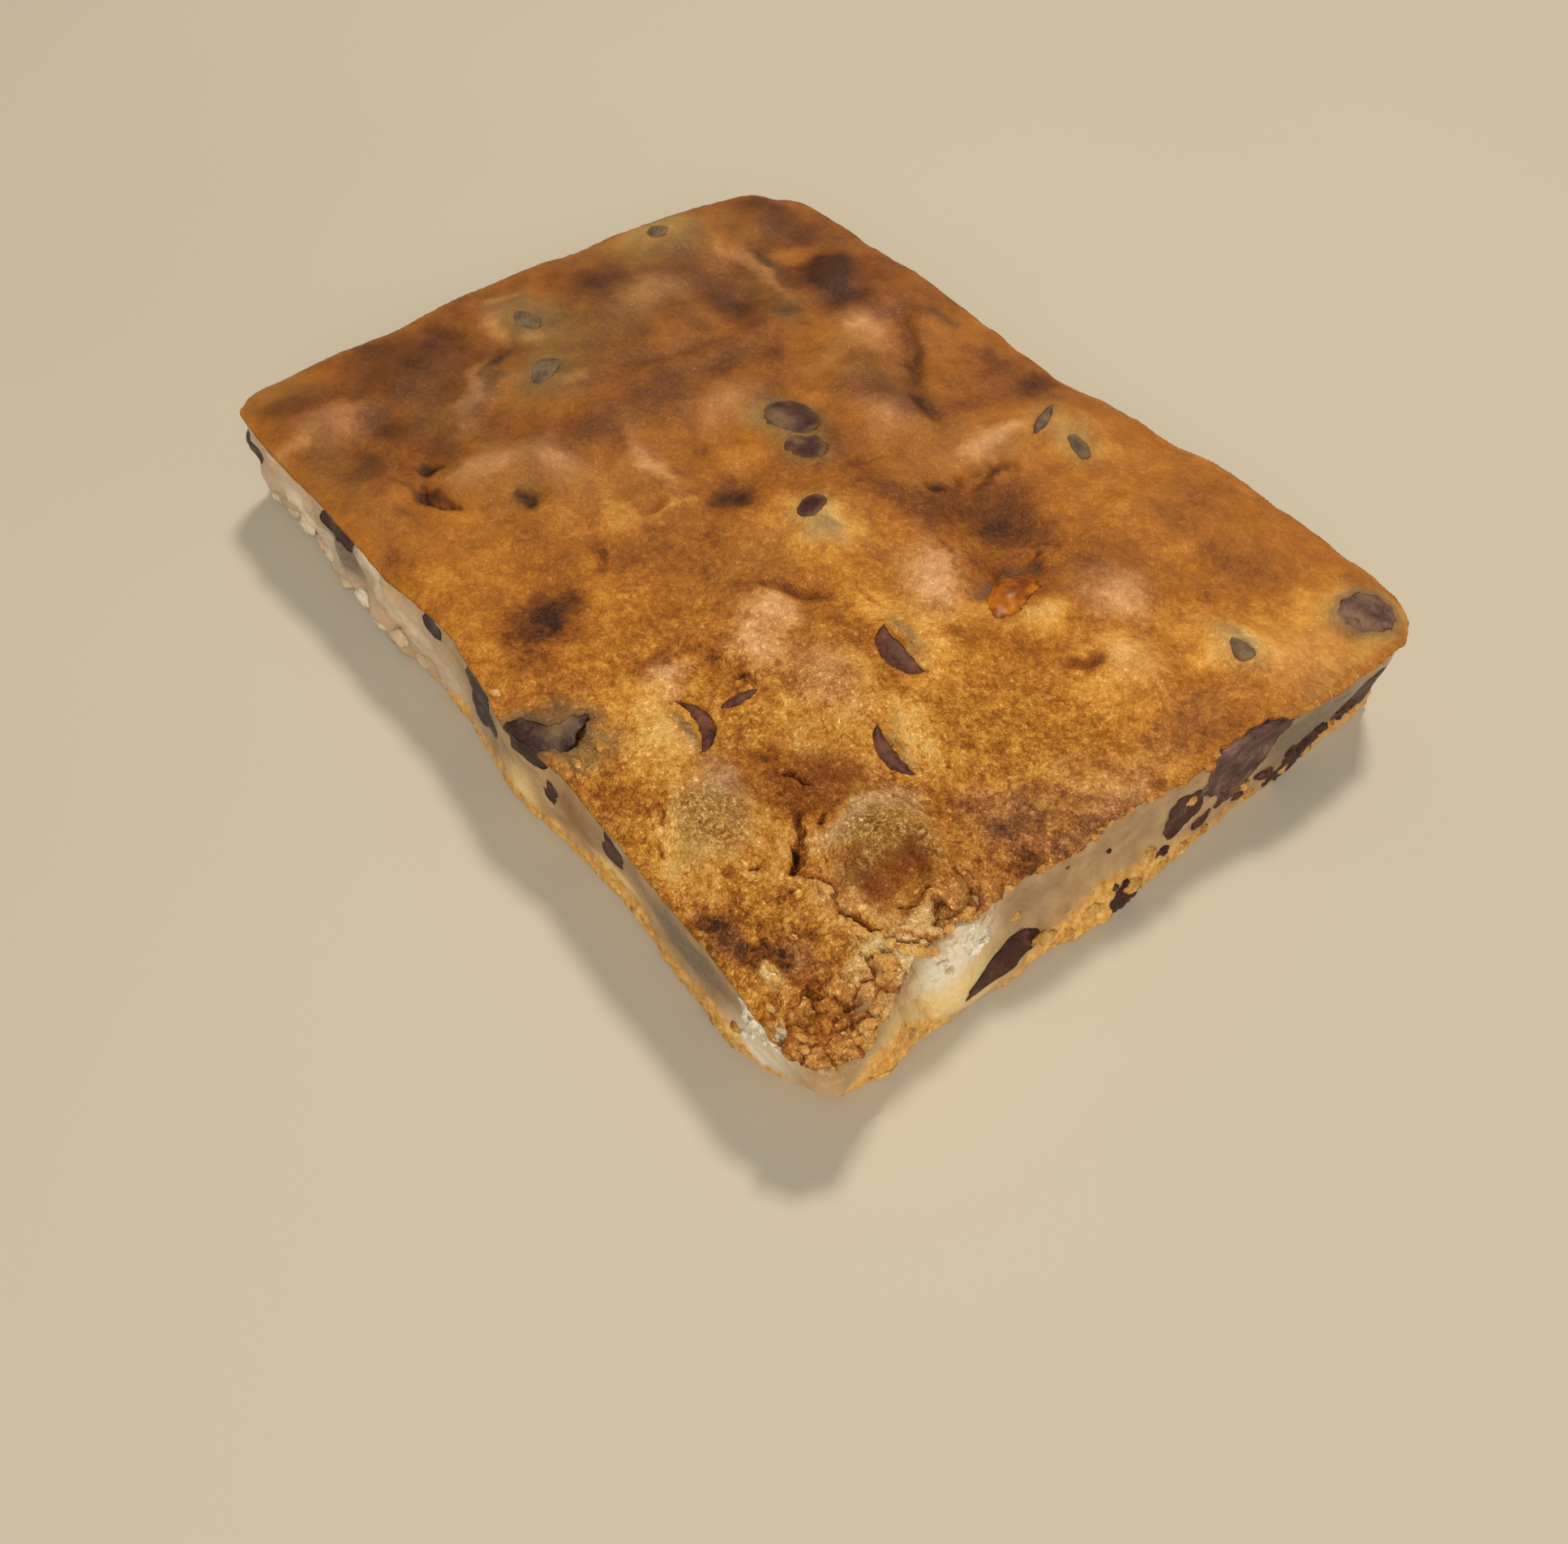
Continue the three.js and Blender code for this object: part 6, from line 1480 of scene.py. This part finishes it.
crustMaterial, crumbMaterial, chunkMaterial = makeCrustMaterial(), makeCrumbMaterial(), makeChunkMaterial()
chocolateMaterial = makeChocolateMaterial("setDarkChocolate", ("#2E1A14", "#4E2E26", "#75594C"), 0.35)
openMaterial = makeChocolateMaterial("softDarkChocolate", ("#38201A", "#623A2C", "#88604A"), 0.35)
meltedMaterial = makeChocolateMaterial("meltedDarkChocolate", ("#241412", "#402824", "#645048"), 0.3)
scrapedMaterial = makeChocolateMaterial("scrapedChocolate", ("#3C2826", "#664A42", "#927668"), 0.4)
bloomedMaterial = makeChocolateMaterial("bloomedChocolate", ("#2C2022", "#493A3A", "#7C6E6C"), 0.35)
filmMaterial = makeChocolateMaterial("bakedOverChocolate", ("#44362A", "#6A5A44", "#8E7A58"), 0.45)
caramelMaterial, flakeMaterial = makeCaramelMaterial(), makeFlakeMaterial()


def finishPiece(piece, material, slot, *nodes):
    piece.data.materials.clear()
    piece.data.materials.append(material)
    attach(piece, "root")
    if nodes:
        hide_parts(*nodes)


finishPiece(brownedCrust, crustMaterial, "baked_blondie", "blondie_slab")
finishPiece(denseCrumb, crumbMaterial, "baked_blondie", "blondie_slab")
finishPiece(crustChunks, chunkMaterial, "baked_blondie")
looseCrumbsPiece = makeLooseCrumbs(chunkMaterial)
print("loose crumbs:", len(looseCrumbsPiece.data.polygons))
finishPiece(looseCrumbsPiece, chunkMaterial, "baked_blondie")
finishPiece(chocolateBits, chocolateMaterial, "chocolate")
finishPiece(pasteLumps, crumbMaterial, "baked_blondie")
looks = {"bakedOver": filmMaterial, "bloomed": bloomedMaterial, "scraped": scrapedMaterial,
         "melted": meltedMaterial, "crescents": openMaterial}
for node, piece in chipPieces.items():
    surface = [material for kind, material in looks.items() if node in chips[kind]]
    finishPiece(piece, (surface or [chocolateMaterial])[0], "chocolate", node)
finishPiece(extraPieces["caramel_lump"], caramelMaterial, "caramel", "caramel_lump")
for node in extras["flakes"]:
    finishPiece(extraPieces[node], flakeMaterial, "white_flake", node)
print("materials on")


# Floor, light and camera

stage = {
    "floorSize": 3.0,
    "floorTone": ("#C3BEAE", "#C7C2B2"),
    "floorClouds": 6.0,  # to the metre
    "keyPlace": (-0.28, 0.48, 1.02),
    "keySize": 0.16,
    "keyPower": 7.3,
    "keyTone": "#FFEEDA",
    "fillPlace": (0.7, -0.5, 0.7),
    "fillSize": 0.8,
    "fillPower": 7.6,
    "fillTone": "#FFF4E6",
    "skyTone": "#FFF6E8",
    "skyStrength": 0.28,
    "focal": 1598.9,  # in pixels of the picture
    "pictureWidth": 1934,
    "filmWidth": 36.0,
    "nearest": 0.005,  # how close the camera still sees, in metres
    "cameraPlace": (0.09277, -0.07603, 0.1213),
    "cameraTurn": (36.35, 0.0, 50.71),
}


def makeFloor():
    half = stage["floorSize"] / 2 / mm
    corners = [(-half, -half, 0), (half, -half, 0), (half, half, 0), (-half, half, 0)]
    floor = makeMesh("paleFloor", corners, [(0, 1, 2, 3)])
    material, tree = newMaterial("paleMattFloor")
    low, high = stage["floorTone"]
    place = addNode(tree, "TexCoord").outputs["Object"]
    clouds = addNode(tree, "TexNoise", {"Scale": stage["floorClouds"], "Detail": 2.0, "Vector": place}).outputs[0]
    colour = addNode(tree, "ValToRGB", {"stops": ((0.3, low), (0.7, high)), 0: clouds}).outputs[0]
    paper = addNode(tree, "BsdfPrincipled", {"Base Color": colour, "Roughness": 0.6})
    addNode(tree, "OutputMaterial", {"Surface": paper.outputs[0]})
    floor.data.materials.append(material)


def addSoftbox(kind):
    light = bpy.data.lights.new(kind + "Softbox", "AREA")
    light.size, light.energy = stage[kind + "Size"], stage[kind + "Power"]
    light.color = toLinear(stage[kind + "Tone"])[:3]
    lamp = addObject(kind + "Softbox", light)
    lamp.location = stage[kind + "Place"]
    lamp.rotation_euler = (-Vector(lamp.location)).to_track_quat("-Z", "Y").to_euler()


makeFloor()
addSoftbox("key")
addSoftbox("fill")
sky = bpy.data.worlds.new("softSky")
sky.use_nodes = True
skyLight = sky.node_tree.nodes["Background"].inputs
skyLight["Color"].default_value, skyLight["Strength"].default_value = toLinear(stage["skyTone"]), stage["skyStrength"]
bpy.context.scene.world = sky
bpy.context.scene.view_settings.view_transform = "Standard"

lens = bpy.data.cameras.new("camera")
lens.sensor_width = stage["filmWidth"]
lens.lens = stage["focal"] * lens.sensor_width / stage["pictureWidth"]
lens.clip_start = stage["nearest"]
camera = addObject("camera", lens)
camera.location = stage["cameraPlace"]
camera.rotation_euler = [math.radians(turn) for turn in stage["cameraTurn"]]
bpy.context.scene.camera = camera
print("floor, light and camera set")
